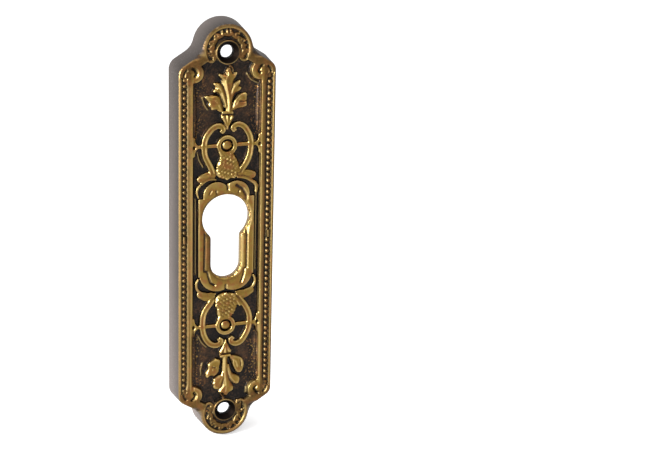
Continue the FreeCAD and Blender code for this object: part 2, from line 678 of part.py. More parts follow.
def make_beads():
    """Four rows of beads: they start at the bridge and fill the channels to their far ends."""
    radius = size("bead_width") / 2
    gap = 0.25
    middle = RIDGE_OUTSIDE + size("channel_width") / 2
    first = size("channel_break") / 2 + radius + gap
    last = CORNER_HEIGHT - size("channel_stop") - radius - gap
    count = int((last - first) / size("bead_pitch")) + 1
    bead = button(0, 0, radius, size("bead_rise"), CHANNEL_FLOOR, 6)
    beads = []
    for sx, sz in QUARTERS:
        for i in range(count):
            copy = bead.copy()
            copy.translate(at(sx * middle, sz * (first + i * size("bead_pitch")), 0))
            beads.append(copy)
    return beads


def make_eyes():
    """The four volutes' eyes, each in its round groove."""
    across = HALF_WIDTH - size("eye_inset")
    floor = size("plate_depth") - size("eye_groove")
    eyes = []
    for sx, sz in QUARTERS:
        place = (sx * across, sz * VOLUTE_HEIGHT)
        eyes.append(button(*place, size("eye_radius"), size("eye_groove"), floor, 8))
    return eyes


def make_scrolls(centre):
    """The ring of scrolls round a rosette, from its curled top end down to the bud."""
    reach = size("scroll_radius")
    rise = size("scroll_rise")

    def spot(across, up):
        """A place given in parts of the ring's radius from the rosette."""
        return (reach * across, centre + reach * up)

    path = [spot(0.31, 0.84), spot(0.48, 0.86), spot(0.78, 0.70), spot(0.98, 0.38), spot(1.0, 0.05),
            spot(0.97, -0.3), spot(0.84, -0.65), spot(0.66, -0.95), spot(0.5, -1.3)]
    width = size("scroll_width")
    curl = 0.66 * width
    shapes = [band(path, width, rise, count=12, taper=0.8)]
    shapes.append(button(*spot(0.31, 0.69), curl, rise + 0.1))
    return right_and_left(shapes)


def make_bars(centre):
    """The bars that tie the ridge, the scrolls and the rosette together, each with a fork at the ridge."""
    rise = size("scroll_rise") - 0.3
    width = size("bar_width")
    overlap = 0.4
    fork_length = 1.7
    fork_spread = 3.3
    near, far = size("rosette_radius") - overlap, RIDGE_INSIDE + overlap
    fork = RIDGE_INSIDE - fork_length
    inner = band([(near, centre), (size("scroll_radius"), centre)], width, rise, 2)
    outer = band([(size("scroll_radius"), centre), (fork + overlap, centre)], width, rise, 2)
    arms = [band([(fork, centre), (far, centre + turn * fork_spread)], 0.8 * width, rise, 2)
            for turn in (1, -1)]
    return right_and_left([inner, outer, *arms])


def make_rosette(centre):
    """A rosette: a rounded ring, a groove and a boss."""
    radius = size("rosette_radius")
    rise = size("scroll_rise")
    shape = ((0.97, 0.7), (0.86, 1.0), (0.74, 0.9), (0.66, 0.35), (0.52, 0.35), (0.4, 0.9), (0, 1.0))
    profile = [(radius, -size("root"))] + [(radius * across, rise * up) for across, up in shape]
    return [turned(0, centre, profile, GROUND, 16)]


def make_bud(centre):
    """A bud like a fir cone: a rounded body that is broad at its foot, covered with small pointed scales."""
    rise = size("bud_rise")
    top = centre - 0.64 * size("rosette_radius")
    low = centre - size("rosette_reach")
    length = top - low
    stations = ((0.0, 0.45), (0.12, 0.85), (0.3, 1.0), (0.55, 0.85), (0.8, 0.62), (1.0, 0.45))
    half = size("bud_width") / 2
    foot = GROUND - size("root")
    rings = []
    for share, part in stations:
        z = low + share * length
        spots = ((-1.0, foot), (-0.85, GROUND + 0.5 * rise), (-0.45, GROUND + 0.9 * rise),
                 (0.45, GROUND + 0.9 * rise), (0.85, GROUND + 0.5 * rise), (1.0, foot))
        rings.append([at(half * part * across, z, level) for across, level in spots])
    shapes = [skin(rings)]
    rows = 5
    width = 0.33 * half
    scale_rise = 0.28
    scale_root = 0.5
    for row in range(rows):
        share = (row + 0.7) / rows
        z = low + share * length
        part = 1.0 - 0.6 * abs(share - 0.3) ** 1.2
        columns = (-0.59, 0.0, 0.59) if row % 2 else (-0.29, 0.29)
        for across in columns:
            level = GROUND + rise * (0.9 if abs(across) < 0.5 else 0.7)
            buried = level - scale_root
            x = half * part * across
            base = [at(x + width, z, buried), at(x, z + 0.75 * width, buried),
                    at(x - width, z, buried), at(x, z - 1.1 * width, buried)]
            shapes.append(skin([base, [at(x, z - 0.2 * width, level + scale_rise)]]))
    return shapes


def make_wings(centre):
    """Two leaves that spread from the bud's foot, and the thin line that hooks round under each."""
    foot = centre - size("rosette_reach")
    half = size("bud_width") / 2
    clear = 1.6
    tip = RIDGE_INSIDE - clear
    rise = size("leaf_rise")
    wing = leaf([(half - 0.6, foot + 1.4), (0.62 * tip, foot + 2.4), (tip, foot + 0.9)], 3.4, rise, 0.4)
    path = [(half - 0.3, foot + 0.2), (0.7 * tip, foot - 0.5), (0.93 * tip, foot - 1.9),
            (tip + 0.1, foot - 3.8), (tip - 0.1, foot - 6.2)]
    return right_and_left([wing, band(path, 0.9, 0.65 * rise, 7)])


def make_spray(centre, leaves):
    """A spray on the middle line, from a collar and an upturned bell; leaves lists its other leaves."""
    rise = size("leaf_rise")
    root = centre + size("spray_reach")
    bell_length, bell_width = 6.8, 5.2
    collar_half, collar_width = 2.3, 1.4
    stem_length, stem_width = 13.0, 3.0
    shapes = [leaf([(0, root + 0.6), (0, root - bell_length)], bell_width, rise, 0.12)]
    shapes.append(band([(-collar_half, root), (collar_half, root)], collar_width, rise, 2))
    shapes.append(leaf([(0, root - 0.3), (0, root + stem_length)], stem_width, 0.9 * rise, 0.3, 5))
    for points, width, full in leaves:
        path = [(x, root + up) for x, up in points]
        broad = width > 3
        shapes.append(leaf(path, width, rise, full, 5 if broad else 4, shoulders=broad))
    return shapes


def make_garland(centre, tilt):
    """Small leaves that overlap in a wreath round a screw hole, open towards the middle of the plate."""
    inner = size("sink_radius") + size("hole_ring")
    outer = size("dome_radius") - size("dome_rim")
    radius = (inner + outer) / 2 - 0.2
    base = size("plate_depth") - size("dome_sink")
    count = 9
    start, sweep = -38, 256
    reach = math.radians(17)
    shapes = []
    for i in range(count):
        turn = math.radians(start + (i + 0.5) * sweep / count + tilt)
        points = []
        for step, drift in ((-1, -0.25), (0, 0.2), (1, 0.1)):
            angle = turn + step * reach
            length = radius + drift * (outer - inner) / 2
            points.append((length * math.cos(angle), centre + length * math.sin(angle)))
        shapes.append(leaf(points, 0.7 * (outer - inner), size("dome_sink") + 0.1, 0.5, 4, base, False))
    curl = (0.63 * size("dome_radius"), centre - 0.37 * size("dome_radius"))
    tail = [(curl[0] + 1.4, curl[1] + 2.2), (curl[0] + 1.9, curl[1] + 0.6), (curl[0] + 1.2, curl[1] - 0.9)]
    ends = [button(*curl, 1.3, size("ground_depth") - 0.2), band(tail, 1.2, size("ground_depth") - 0.3, 4)]
    return shapes + right_and_left(ends)


def turned_over(shapes):
    """The shapes' mirror images in the lower half of the plate."""
    return [shape.mirror(Vector(0, 0, 0), Vector(0, 0, 1)) for shape in shapes]


UPPER_LEAVES = [
    ([(1.0, 0.8), (5.2, 2.2), (8.8, 7.2)], 4.4, 0.45),
    ([(1.4, 2.0), (4.6, 4.2), (5.0, 7.6)], 2.6, 0.45),
    ([(0.8, 4.4), (3.6, 7.0), (4.6, 12.4)], 2.6, 0.45),
    ([(1.2, 4.6), (4.4, 6.6), (5.6, 10.4)], 2.0, 0.45),
    ([(0.8, 10.5), (2.9, 12.2), (3.4, 15.6)], 2.6, 0.45),
]
LOWER_LEAVES = [
    ([(1.0, 0.6), (5.6, 2.6), (7.8, 8.0)], 5.4, 0.5),
    ([(1.0, 4.8), (4.0, 8.0), (5.6, 12.4)], 3.2, 0.45),
    ([(0.8, 8.0), (2.8, 10.2), (3.8, 13.4)], 2.4, 0.45),
]
UPPER_END = [
    ([(0, 9.5), (0, 14.5), (0.5, 18.0)], 3.4, 0.45),
    ([(2.4, 16.6), (1.9, 18.4), (0.6, 19.2)], 1.4, 0.4),
]
LOWER_END = [([(0, 10.0), (0.3, 14.5), (0.7, 17.6)], 5.6, 0.5)]


def mirrored_leaves(leaves):
    """The side leaves and their mirror images."""
    flipped = [([(-x, up) for x, up in points], width, full) for points, width, full in leaves]
    return leaves + flipped


def add_group(name, shapes):
    """One object of the document for a group of ornaments."""
    group = doc.addObject("Part::Feature", name)
    group.Shape = Part.makeCompound(shapes)
    return group


# The plate: the casting and its ornament as one solid

casting = make_casting()
groups = [add_group("beads", make_beads()), add_group("eyes", make_eyes())]
makers = {
    "scrolls": make_scrolls,
    "bars": make_bars,
    "rosette": make_rosette,
    "bud": make_bud,
    "wings": make_wings,
}
reach = size("bud_gap") + size("rosette_reach")
upper_centre = LOBE_TIP + reach
lower_centre = FOOT_TIP + reach
for word, make in makers.items():
    groups.append(add_group(f"upper_{word}", make(upper_centre)))
    groups.append(add_group(f"lower_{word}", turned_over(make(lower_centre))))
upper_leaves = mirrored_leaves(UPPER_LEAVES) + UPPER_END
lower_leaves = mirrored_leaves(LOWER_LEAVES) + LOWER_END
groups.append(add_group("upper_spray", make_spray(upper_centre, upper_leaves)))
groups.append(add_group("lower_spray", turned_over(make_spray(lower_centre, lower_leaves))))
groups.append(add_group("upper_garland", make_garland(DOME_HEIGHT, -12)))
groups.append(add_group("lower_garland", turned_over(make_garland(DOME_HEIGHT, 12))))
doc.recompute()

plate = doc.addObject("Part::Feature", "escutcheon_plate")
plate.Label = "escutcheon_plate"
ornaments = [solid for group in groups for solid in group.Shape.Solids]
plate.Shape = casting.Shape.fuse(ornaments).Solids[0]

for item in doc.Objects:
    if "Invalid" in item.State or "Error" in item.State:
        raise RuntimeError(f"{item.Label} did not build: {item.State}")
if plate.Shape.isNull() or not plate.Shape.isValid():
    raise RuntimeError("the plate's shape is not sound")

os.makedirs("parts", exist_ok=True)
plate.Shape.exportStep(f"parts/{plate.Label}.step")
print(f"{plate.Label}: {plate.Shape.Volume / 1000:.2f} cm3, {len(plate.Shape.Faces)} faces")
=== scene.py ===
import math

import bpy
import numpy as np
from mathutils import Matrix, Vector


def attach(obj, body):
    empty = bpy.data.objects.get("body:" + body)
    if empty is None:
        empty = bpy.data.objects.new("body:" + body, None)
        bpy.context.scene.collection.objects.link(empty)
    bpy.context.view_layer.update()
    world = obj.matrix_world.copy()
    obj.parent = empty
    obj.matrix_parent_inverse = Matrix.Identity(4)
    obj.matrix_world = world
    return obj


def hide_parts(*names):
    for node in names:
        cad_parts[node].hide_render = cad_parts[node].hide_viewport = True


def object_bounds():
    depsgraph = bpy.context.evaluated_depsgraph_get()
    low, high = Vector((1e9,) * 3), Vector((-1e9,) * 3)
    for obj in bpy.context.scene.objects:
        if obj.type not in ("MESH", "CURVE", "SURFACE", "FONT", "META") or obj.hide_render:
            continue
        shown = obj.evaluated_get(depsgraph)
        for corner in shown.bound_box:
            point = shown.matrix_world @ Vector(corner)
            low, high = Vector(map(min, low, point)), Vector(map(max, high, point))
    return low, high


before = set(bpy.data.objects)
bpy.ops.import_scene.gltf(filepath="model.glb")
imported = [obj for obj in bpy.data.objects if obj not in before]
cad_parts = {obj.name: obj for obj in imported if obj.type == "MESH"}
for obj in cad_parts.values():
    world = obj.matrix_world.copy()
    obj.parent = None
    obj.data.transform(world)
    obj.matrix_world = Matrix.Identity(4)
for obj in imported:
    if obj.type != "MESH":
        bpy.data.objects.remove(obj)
cad_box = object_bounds()


# The plain casting: a hollow brass plate with a keyhole, poured in sand in one piece. It starts from the plate's own
# solid, with the ornament pressed back to the ground, so that the carver's sections below can cut it finely.
mm = 0.001
MERGED = 0.001  # all sizes are in millimetres
LEVEL_MARGIN = 0.01
GROUND = 10.0  # levels above the door
WREATH_FLOOR = 10.8
TOP = 12.0
GROUND_SIDE = 13.05  # the sunk ground's edges, from the plate's middle
GROUND_END = 70.7
CHANNEL_SIDES = (16.15, 18.25)
CHANNEL_ENDS = (1.6, 64.9)
DOME_HEIGHT = 75.0
WREATH_RADIUS = 8.38
HOLE_HEIGHT = 74.1
LIP_RADIUS = 4.72
VOLUTE = (13.3, 66.5, 4.45)  # round places: across, up and radius
UPPER_LOBE = (4.0, 17.3, 5.5)
LOWER_LOBE = (3.3, -15.1, 7.6)
FRAME_SIDE = 11.4
FRAME_END = 16.2


def select_only(*pieces):
    """Select these pieces and nothing else, with the first one active."""
    bpy.ops.object.select_all(action="DESELECT")
    for piece in pieces:
        piece.select_set(True)
    bpy.context.view_layer.objects.active = pieces[0]


def in_circle(x, z, circle):
    return math.hypot(x - circle[0], z - circle[1]) < circle[2]


def in_keyhole_frame(x, z):
    """Whether a place is on the keyhole's raised frame, which has two lobes above and two below."""
    if abs(x) < FRAME_SIDE and abs(z) < FRAME_END:
        return True
    return in_circle(abs(x), z, UPPER_LOBE if z > 0 else LOWER_LOBE)


def floor_level(x, z):
    """The level of the sunk floor at a place, or None where the face isn't sunk."""
    across, along = abs(x), abs(z)
    if in_circle(x, along, (0, HOLE_HEIGHT, LIP_RADIUS)):
        return None
    if across < GROUND_SIDE and along < GROUND_END:
        if not in_keyhole_frame(x, z) and not in_circle(across, along, VOLUTE):
            return GROUND
    if along > GROUND_END and in_circle(x, along, (0, DOME_HEIGHT, WREATH_RADIUS)):
        return WREATH_FLOOR
    if CHANNEL_SIDES[0] < across < CHANNEL_SIDES[1] and CHANNEL_ENDS[0] < along < CHANNEL_ENDS[1]:
        return WREATH_FLOOR
    return None


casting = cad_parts["escutcheon_plate"].copy()
casting.data = casting.data.copy()
casting.parent = None
casting.name = "casting"
bpy.context.scene.collection.objects.link(casting)
select_only(casting)
bpy.ops.object.mode_set(mode="EDIT")
bpy.ops.mesh.select_all(action="SELECT")
bpy.ops.mesh.remove_doubles(threshold=MERGED * mm)
for level in (GROUND, WREATH_FLOOR):
    bpy.ops.mesh.select_mode(type="VERT")
    bpy.ops.mesh.select_all(action="DESELECT")
    bpy.ops.object.mode_set(mode="OBJECT")
    for vertex in casting.data.vertices:
        x, y, z = (value / mm for value in vertex.co)
        vertex.select = floor_level(x, z) == level and -y > level + LEVEL_MARGIN
    bpy.ops.object.mode_set(mode="EDIT")
    bpy.ops.transform.resize(value=(1, 0, 1), center_override=(0, -level * mm, 0))
bpy.ops.object.mode_set(mode="OBJECT")


# The carver's two forms, in pattern wood: a rib that widens and narrows along a curve, and a flat-topped form with
# rounded edges. Both are drawn lying down, in millimetres across and up the plate, and stand up when they are joined.
RELIEF_ROOT = 1.2  # how deep the forms are set in the ground
CURVE_STEPS = 6
SECTION_TOP = 0.75
SECTION_FOOT = -3
relief = []


def draw(points, closed):
    """A smooth curve through a few places."""
    bpy.ops.object.select_all(action="DESELECT")
    bpy.ops.curve.primitive_bezier_curve_add()
    piece = bpy.context.object
    spline = piece.data.splines[0]
    spline.bezier_points.add(len(points) - 2)
    spline.use_cyclic_u = closed
    for point, (x, z) in zip(spline.bezier_points, points):
        point.co = (x * mm, z * mm, 0)
        point.handle_left_type = "AUTO"
        point.handle_right_type = "AUTO"
    return piece


def section(name, half_outline):
    """A rib's section, from -1 to 1 across, which stands from SECTION_FOOT to SECTION_TOP about the rib's line."""
    left_half = [(-across, up) for across, up in half_outline]
    outline = [(-1, SECTION_FOOT), *left_half, *reversed(half_outline), (1, SECTION_FOOT)]
    bpy.ops.curve.primitive_bezier_curve_add()
    shape = bpy.context.object
    shape.name = name
    shape.data.dimensions = "2D"
    shape.data.splines.clear()
    spline = shape.data.splines.new("POLY")
    spline.points.add(len(outline) - 1)
    for point, (across, up) in zip(spline.points, outline):
        point.co = (across, up, 0, 1)
    spline.use_cyclic_u = True
    return shape


SHARP = section("sharp_section", [(0.97, 0), (0.55, 0.38), (0.12, 0.74), (0.04, SECTION_TOP)])
FLAT = section("flat_section", [(0.98, 0.1), (0.8, 0.55), (0.5, SECTION_TOP)])
ROUND = section("round_section", [(1, 0), (0.87, 0.4), (0.5, 0.67), (0.04, SECTION_TOP)])
HOLLOW = section("hollow_section", [(0.98, 0.2), (0.86, 0.66), (0.7, SECTION_TOP), (0.52, 0.64), (0.2, 0.4)])


def rib(points, halves, rise, shape=FLAT, floor=GROUND):
    """A rib through some places. The halves are its half-widths and the rise its height there, or one for all."""
    piece = draw(points, False)
    halves = halves if isinstance(halves, list) else [halves] * len(points)
    rises = rise if isinstance(rise, list) else [rise] * len(points)
    data = piece.data
    data.twist_mode = "Z_UP"
    data.resolution_u = CURVE_STEPS
    data.use_fill_caps = True
    data.bevel_mode = "OBJECT"
    data.bevel_object = shape
    for point, half, height in zip(data.splines[0].bezier_points, halves, rises):
        point.co.z = (floor + height - SECTION_TOP * half) * mm
        point.handle_left.z = point.co.z
        point.handle_right.z = point.co.z
        point.radius = half * mm
    bpy.ops.object.convert(target="MESH")
    relief.append(piece)


def slab(outline, rise, edge=0.45, floor=GROUND):
    """A flat-topped form with rounded edges inside a closed outline."""
    piece = draw(outline, True)
    data = piece.data
    data.dimensions = "2D"
    data.fill_mode = "BOTH"
    data.resolution_u = CURVE_STEPS
    data.bevel_resolution = 3
    data.bevel_depth = edge * mm
    data.offset = -edge * mm
    data.extrude = ((rise + RELIEF_ROOT) / 2 - edge) * mm
    bpy.ops.object.convert(target="MESH")
    piece.location.z = (floor + (rise - RELIEF_ROOT) / 2) * mm
    bpy.ops.object.transform_apply(location=True)
    relief.append(piece)


def dome(x, z, radius, rise, floor=GROUND, squash=1.0):
    """A round boss: a ball pressed into the floor."""
    bpy.ops.object.select_all(action="DESELECT")
    place = (x * mm, z * mm, (floor + rise - radius * squash) * mm)
    bpy.ops.mesh.primitive_uv_sphere_add(segments=20, ring_count=12, radius=radius * mm, location=place)
    bpy.ops.transform.resize(value=(1, 1, squash))
    bpy.ops.object.transform_apply(location=True, rotation=True, scale=True)
    relief.append(bpy.context.object)


def round_places(x, z, radius, step, count):
    """Places round a circle, a step in degrees apart."""
    turns = [math.radians(step * number) for number in range(count)]
    return [(x + radius * math.cos(turn), z + radius * math.sin(turn)) for turn in turns]


# The rows of beads down each side: balls turned in the pattern, a little more than half of each standing out of its
# channel. The lower left row is fuller than the others, as such hand-finished patterns are.
BEADS_IN_ROW = 27
BEAD_PITCH = 2.35
BEAD_LINE = 16.95
FIRST_BEAD = 2.9
BEAD_RISE = 1.0
for side in (-1, 1):
    for end in (-1, 1):
        radius = 1.06 if (side, end) == (-1, -1) else 0.97
        for number in range(BEADS_IN_ROW):
            height = FIRST_BEAD + BEAD_PITCH * number
            dome(side * BEAD_LINE, end * height, radius, BEAD_RISE, WREATH_FLOOR)

# The inner ridges are cast in one with the plate. Each has a low foot of brass along it towards the leaf sprays,
# where the pattern maker's gouge ran beside the ridge.
RIDGE_FOOT = [(12.9, 38.5), (12.8, 44), (12.8, 56), (13.0, 61.5)]
for side in (-1, 1):
    for end in (-1, 1):
        rib([(side * x, end * z) for x, z in RIDGE_FOOT], [0.5, 0.8, 0.8, 0.5], [0.4, 0.8, 0.8, 0.5], SHARP)

# The volutes at the corners, brass like the rest: the ridge widens into a lobe and curls in to a round boss, its
# eye, that it feeds from below. The curl itself is cut later with a graver.
EYE_FEED = [(14.9, 66.0), (14.7, 64.0), (14.3, 61.0)]
for side in (-1, 1):
    for end in (-1, 1):
        slab(round_places(side * 14.2, end * 66.4, 2.7, 45, 8), 1.75)
        dome(side * 14.9, end * 66.3, 1.9, 1.98, GROUND, 0.8)
        rib([(side * x, end * z) for x, z in EYE_FEED], [1.5, 1.2, 0.8], [1.95, 1.97, 1.97], ROUND)

# The upper leaf spray, cast in brass: leaves each side of a stem that opens into three points. Every leaf is a low
# form with a midrib and side ribs to its lobes, carved in the pattern, and one at the right swells in a small boss.
LEAF_RISE = 1.85
LEAF_EDGE = 0.85
UPPER_OUTLINES = [
    [(1.4, 50.6), (1.2, 54), (1.5, 58), (2.1, 61), (2.4, 63), (3.4, 64.4), (3.7, 66.2), (2.4, 65.4), (1.9, 65.8),
     (1.5, 67.2), (0.7, 68.3), (0.1, 68.0), (-0.8, 66.8), (-1.2, 65.3), (-2.4, 65.1), (-3.5, 65.8), (-3.3, 64.6),
     (-2.2, 63.4), (-1.5, 61.5), (-0.7, 58.5), (-0.4, 54), (-0.2, 50.6)],
    [(-0.2, 52.2), (-0.6, 55), (-1.6, 58.2), (-2.9, 60.8), (-4.1, 61.9), (-5.6, 62.3), (-5.0, 61.0), (-4.3, 60.2),
     (-5.5, 59.7), (-5.5, 58.5), (-4.0, 58.7), (-3.1, 58.0), (-2.1, 56.2), (-1.4, 54.2), (-1.0, 52.2)],
    [(1.2, 57.0), (3.3, 58.1), (5.2, 59.0), (5.7, 60.1), (4.5, 60.6), (5.1, 61.6), (5.1, 62.9), (3.5, 62.0),
     (2.1, 60.4), (1.2, 59.2)],
    [(1.6, 51.2), (3.0, 51.8), (4.8, 51.9), (6.7, 52.1), (7.9, 52.8), (7.9, 54.2), (7.9, 56.2), (7.9, 57.6),
     (5.6, 57.7), (3.9, 56.3), (2.6, 54.6), (2.1, 52.8)],
    [(-1.8, 50.9), (-2.7, 53.0), (-2.6, 54.8), (-3.1, 56.5), (-4.8, 57.4), (-6.2, 57.1), (-9.1, 57.2), (-8.3, 55.8),
     (-7.4, 54.6), (-7.6, 53.9), (-7.5, 53.1), (-6.6, 52.6), (-6.4, 51.7), (-4.4, 51.7), (-2.8, 50.6)],
]
UPPER_RIBS = [  # places, half-widths and rise
    ([(0.7, 50.6), (0.7, 54.9), (0.5, 57.2), (-0.1, 60.3), (-0.6, 63.2)], [1.0, 1.2, 1.4, 1.7, 2.0], 2.25),
    ([(-0.6, 63.2), (0.4, 65.8), (0.4, 68.1)], [2.0, 1.6, 0.5], [2.25, 2.1, 1.4]),
    ([(-0.6, 63.0), (-1.8, 64.4), (-3.4, 65.7)], [1.4, 1.0, 0.4], [2.1, 1.9, 1.3]),
    ([(0.6, 62.0), (2.0, 64.0), (3.5, 66.1)], [1.6, 1.2, 0.4], [2.1, 1.9, 1.3]),
    ([(-0.5, 53.2), (-1.7, 57.3), (-2.9, 60.2), (-3.9, 61.2), (-5.4, 62.1)], [0.6, 1.1, 1.5, 1.2, 0.4],
     [1.9, 2.2, 2.2, 2.0, 1.3]),
    ([(-2.6, 58.6), (-4.1, 59.3), (-5.5, 58.9)], [1.1, 1.1, 0.5], [2.0, 1.9, 1.4]),
    ([(-2.4, 50.9), (-3.2, 53.4), (-4.6, 55.6), (-6.6, 56.2), (-9.0, 57.0)], [0.8, 1.6, 2.2, 1.5, 0.4],
     [1.9, 2.2, 2.2, 2.0, 1.3]),
    ([(-3.8, 54.2), (-5.6, 53.8), (-7.5, 53.5)], [1.4, 1.3, 0.5], [2.1, 2.0, 1.4]),
    ([(1.1, 54.4), (1.9, 58.2), (3.4, 60.8), (5.0, 62.7)], [0.6, 1.2, 1.4, 0.5], [1.9, 2.2, 2.1, 1.4]),
    ([(2.3, 58.6), (4.0, 59.7), (5.6, 59.8)], [1.1, 1.1, 0.5], [2.1, 1.9, 1.4]),
    ([(2.2, 51.4), (4.0, 53.7), (5.6, 55.9), (7.7, 57.4)], [0.8, 1.8, 1.9, 0.5], [1.9, 2.25, 2.2, 1.5]),
    ([(3.4, 52.4), (5.8, 52.8), (7.9, 53.2)], [1.0, 1.2, 0.6], [2.0, 1.9, 1.4]),
    ([(0.7, 70.6), (0.7, 69.3), (1.7, 68.3), (2.3, 67.0), (2.2, 66.0)], [0.3, 0.35, 0.4, 0.35, 0.25], 1.2),
]
for outline in UPPER_OUTLINES:
    slab(outline, LEAF_RISE, LEAF_EDGE)
for points, halves, rise in UPPER_RIBS:
    rib(points, halves, rise, SHARP)
dome(6.5, 55.5, 1.25, 1.95, GROUND, 0.7)

# The lower leaf spray, cast and carved like the upper one, hangs down and has other leaves: two oval ones over two
# small ones, each side of a slim stem.
LOWER_OUTLINES = [
    [(-0.7, -50.4), (-0.9, -53), (-1.0, -56), (-0.8, -59), (-0.9, -62), (-1.0, -64.2), (-2.1, -65.2), (-2.4, -66.3),
     (-0.8, -66.8), (0.5, -68.0), (1.8, -66.8), (3.3, -66.0), (3.7, -65), (2.6, -62.5), (1.4, -59.5), (1.0, -56),
     (0.9, -53), (1.0, -50.6)],
    [(-2.2, -52.1), (-2.3, -54.8), (-2.9, -57.5), (-4.5, -58.9), (-6.0, -58.6), (-7.6, -59.5), (-8.0, -58.2),
     (-7.5, -56.6), (-7.1, -55.4), (-7.2, -54.3), (-6.9, -53.3), (-5.6, -52.4), (-4.1, -51.8)],
    [(1.6, -50.8), (2.9, -52.5), (3.1, -54.5), (4.0, -56.8), (5.3, -58.5), (6.7, -58.4), (7.8, -56.4), (8.0, -54.4),
     (7.2, -52.4), (5.0, -51.1), (2.8, -50.8)],
    [(-0.6, -58.4), (-0.9, -61.6), (-1.7, -64.0), (-3.1, -64.9), (-4.9, -64.0), (-4.8, -63.0), (-5.2, -62.2),
     (-4.7, -61.3), (-4.7, -60.3), (-2.8, -59.6), (-1.2, -58.6)],
    [(0.9, -54.2), (1.3, -56.8), (1.9, -59.4), (3.1, -62.1), (4.7, -63.4), (6.0, -62.4), (6.2, -60.6), (4.8, -59.5),
     (3.0, -58.7), (2.0, -56.8), (1.5, -54.4)],
]
LOWER_RIBS = [  # places, half-widths and rise
    ([(-0.1, -50.4), (-0.1, -54.0), (0.0, -57.2), (0.5, -61.0), (0.8, -63.6)], [1.0, 1.1, 1.3, 2.0, 2.4], 2.25),
    ([(0.8, -63.6), (0.6, -66.0), (0.4, -68.1)], [2.4, 1.9, 0.5], [2.25, 2.1, 1.4]),
    ([(0.2, -63.4), (-1.1, -64.9), (-2.5, -66.3)], [1.6, 1.1, 0.4], [2.1, 1.9, 1.3]),
    ([(1.2, -62.6), (2.5, -64.2), (3.7, -65.4)], [1.6, 1.1, 0.4], [2.1, 1.9, 1.3]),
    ([(-3.2, -51.9), (-4.5, -54.3), (-5.0, -56.8), (-5.3, -58.8)], [1.0, 2.5, 2.5, 0.9], [1.9, 2.25, 2.2, 1.5]),
    ([(-5.2, -54.1), (-6.2, -54.1), (-7.0, -54.6)], [1.4, 1.2, 0.7], [2.0, 1.9, 1.5]),
    ([(-5.6, -56.6), (-6.8, -57.6), (-7.8, -59.2)], [1.6, 1.4, 0.5], [2.05, 1.95, 1.4]),
    ([(-0.7, -57.4), (-1.4, -60.4), (-2.6, -62.8), (-4.6, -64.0)], [0.5, 1.0, 1.3, 0.5], [1.9, 2.1, 2.1, 1.4]),
    ([(-1.6, -59.4), (-3.2, -60.6), (-4.8, -61.2)], [0.9, 1.2, 0.5], [2.0, 2.0, 1.4]),
    ([(2.4, -51.2), (4.6, -53.0), (5.4, -55.4), (6.0, -58.2)], [0.8, 2.2, 2.2, 0.8], [1.9, 2.25, 2.25, 1.6]),
    ([(1.2, -54.4), (1.7, -57.3), (2.9, -60.2), (4.6, -62.6)], [0.5, 0.8, 1.3, 1.1], [1.8, 2.1, 2.1, 2.0]),
    ([(2.6, -59.2), (4.4, -60.2), (6.1, -60.6)], [0.8, 1.1, 0.6], [2.0, 1.9, 1.4]),
    ([(-2.0, -66.7), (-0.9, -68.2), (0.1, -69.8)], [0.3, 0.35, 0.3], 1.2),
]
for outline in LOWER_OUTLINES:
    slab(outline, LEAF_RISE, LEAF_EDGE)
for points, halves, rise in LOWER_RIBS:
    rib(points, halves, rise, SHARP)
dome(4.9, -62.3, 1.15, 1.95, GROUND, 0.7)

# The collar and the bell-shaped calyx of brass that each spray grows from: a round band over three ribs that run
# together, cut in the pattern. An outline's places are taken backwards for the lower one, so that it still turns the
# same way.
CALYX = [(-2.5, 49.5), (-2.1, 48.3), (-1.3, 47.1), (-0.7, 46.0), (-0.3, 44.6), (0.1, 43.4), (0.5, 44.6), (0.9, 46.0),
         (1.4, 47.1), (2.2, 48.3), (2.6, 49.5)]
CALYX_RIBS = ([(-1.9, 49.0), (-0.9, 47.0), (0, 44.8)], [(0.1, 49.2), (0.2, 47.0), (0.2, 43.8)],
              [(2.1, 48.9), (1.1, 47.0), (0.4, 44.8)])
for end in (1, -1):
    slab([(x, end * z) for x, z in CALYX[::end]], 1.5)
    rib([(-2.2, end * 50.5), (0, end * 50.4), (2.3, end * 50.3)], [0.5, 0.6, 0.5], 2.1, ROUND)
    for points in CALYX_RIBS:
        rib([(x, end * z) for x, z in points], [0.75, 0.6, 0.3], [2.1, 2.0, 1.6], SHARP)

# The rings of scrolls in brass: bands hollowed along the middle with a gouge, which curl in at one end round a
# rosette and are tied to it and to the ridges by bars. A small pierced-looking leaf ends each bar at the ridge.
BAND_RISE = 1.9
UPPER_LEFT = [(-2.5, 42.5), (-1.5, 43.7), (-2.6, 45.1), (-5.0, 44.9), (-7.0, 43.2), (-8.7, 40.3), (-9.1, 37.0),
              (-8.8, 33.7), (-7.6, 30.9), (-6.4, 28.5), (-5.5, 25.9)]
UPPER_RIGHT = [(3.3, 42.9), (2.4, 44.1), (3.7, 45.4), (6.1, 45.0), (8.4, 42.3), (9.6, 39.0), (9.6, 35.6), (9.0, 32.3),
               (7.6, 29.4), (6.4, 27.6), (5.4, 25.8)]
LOWER_LEFT = [(-2.8, -42.8), (-1.7, -44.0), (-2.9, -45.4), (-5.3, -45.3), (-7.1, -43.9), (-8.6, -41.4), (-9.4, -38.4),
              (-9.5, -35.2), (-9.1, -32.0), (-8.0, -29.6), (-6.4, -27.5), (-5.2, -25.6)]
LOWER_RIGHT = [(3.3, -42.6), (2.2, -43.9), (3.4, -45.4), (5.9, -45.2), (8.0, -42.8), (9.5, -39.6), (10.0, -36.7),
               (9.7, -33.4), (8.4, -30.2), (6.8, -27.8), (5.3, -25.7)]
for path in (UPPER_LEFT, UPPER_RIGHT, LOWER_LEFT, LOWER_RIGHT):
    rib(path, [0.85, 1.0, 1.1, *[1.2] * (len(path) - 3)], BAND_RISE, HOLLOW)
ROSETTE_HEIGHT = 37.3
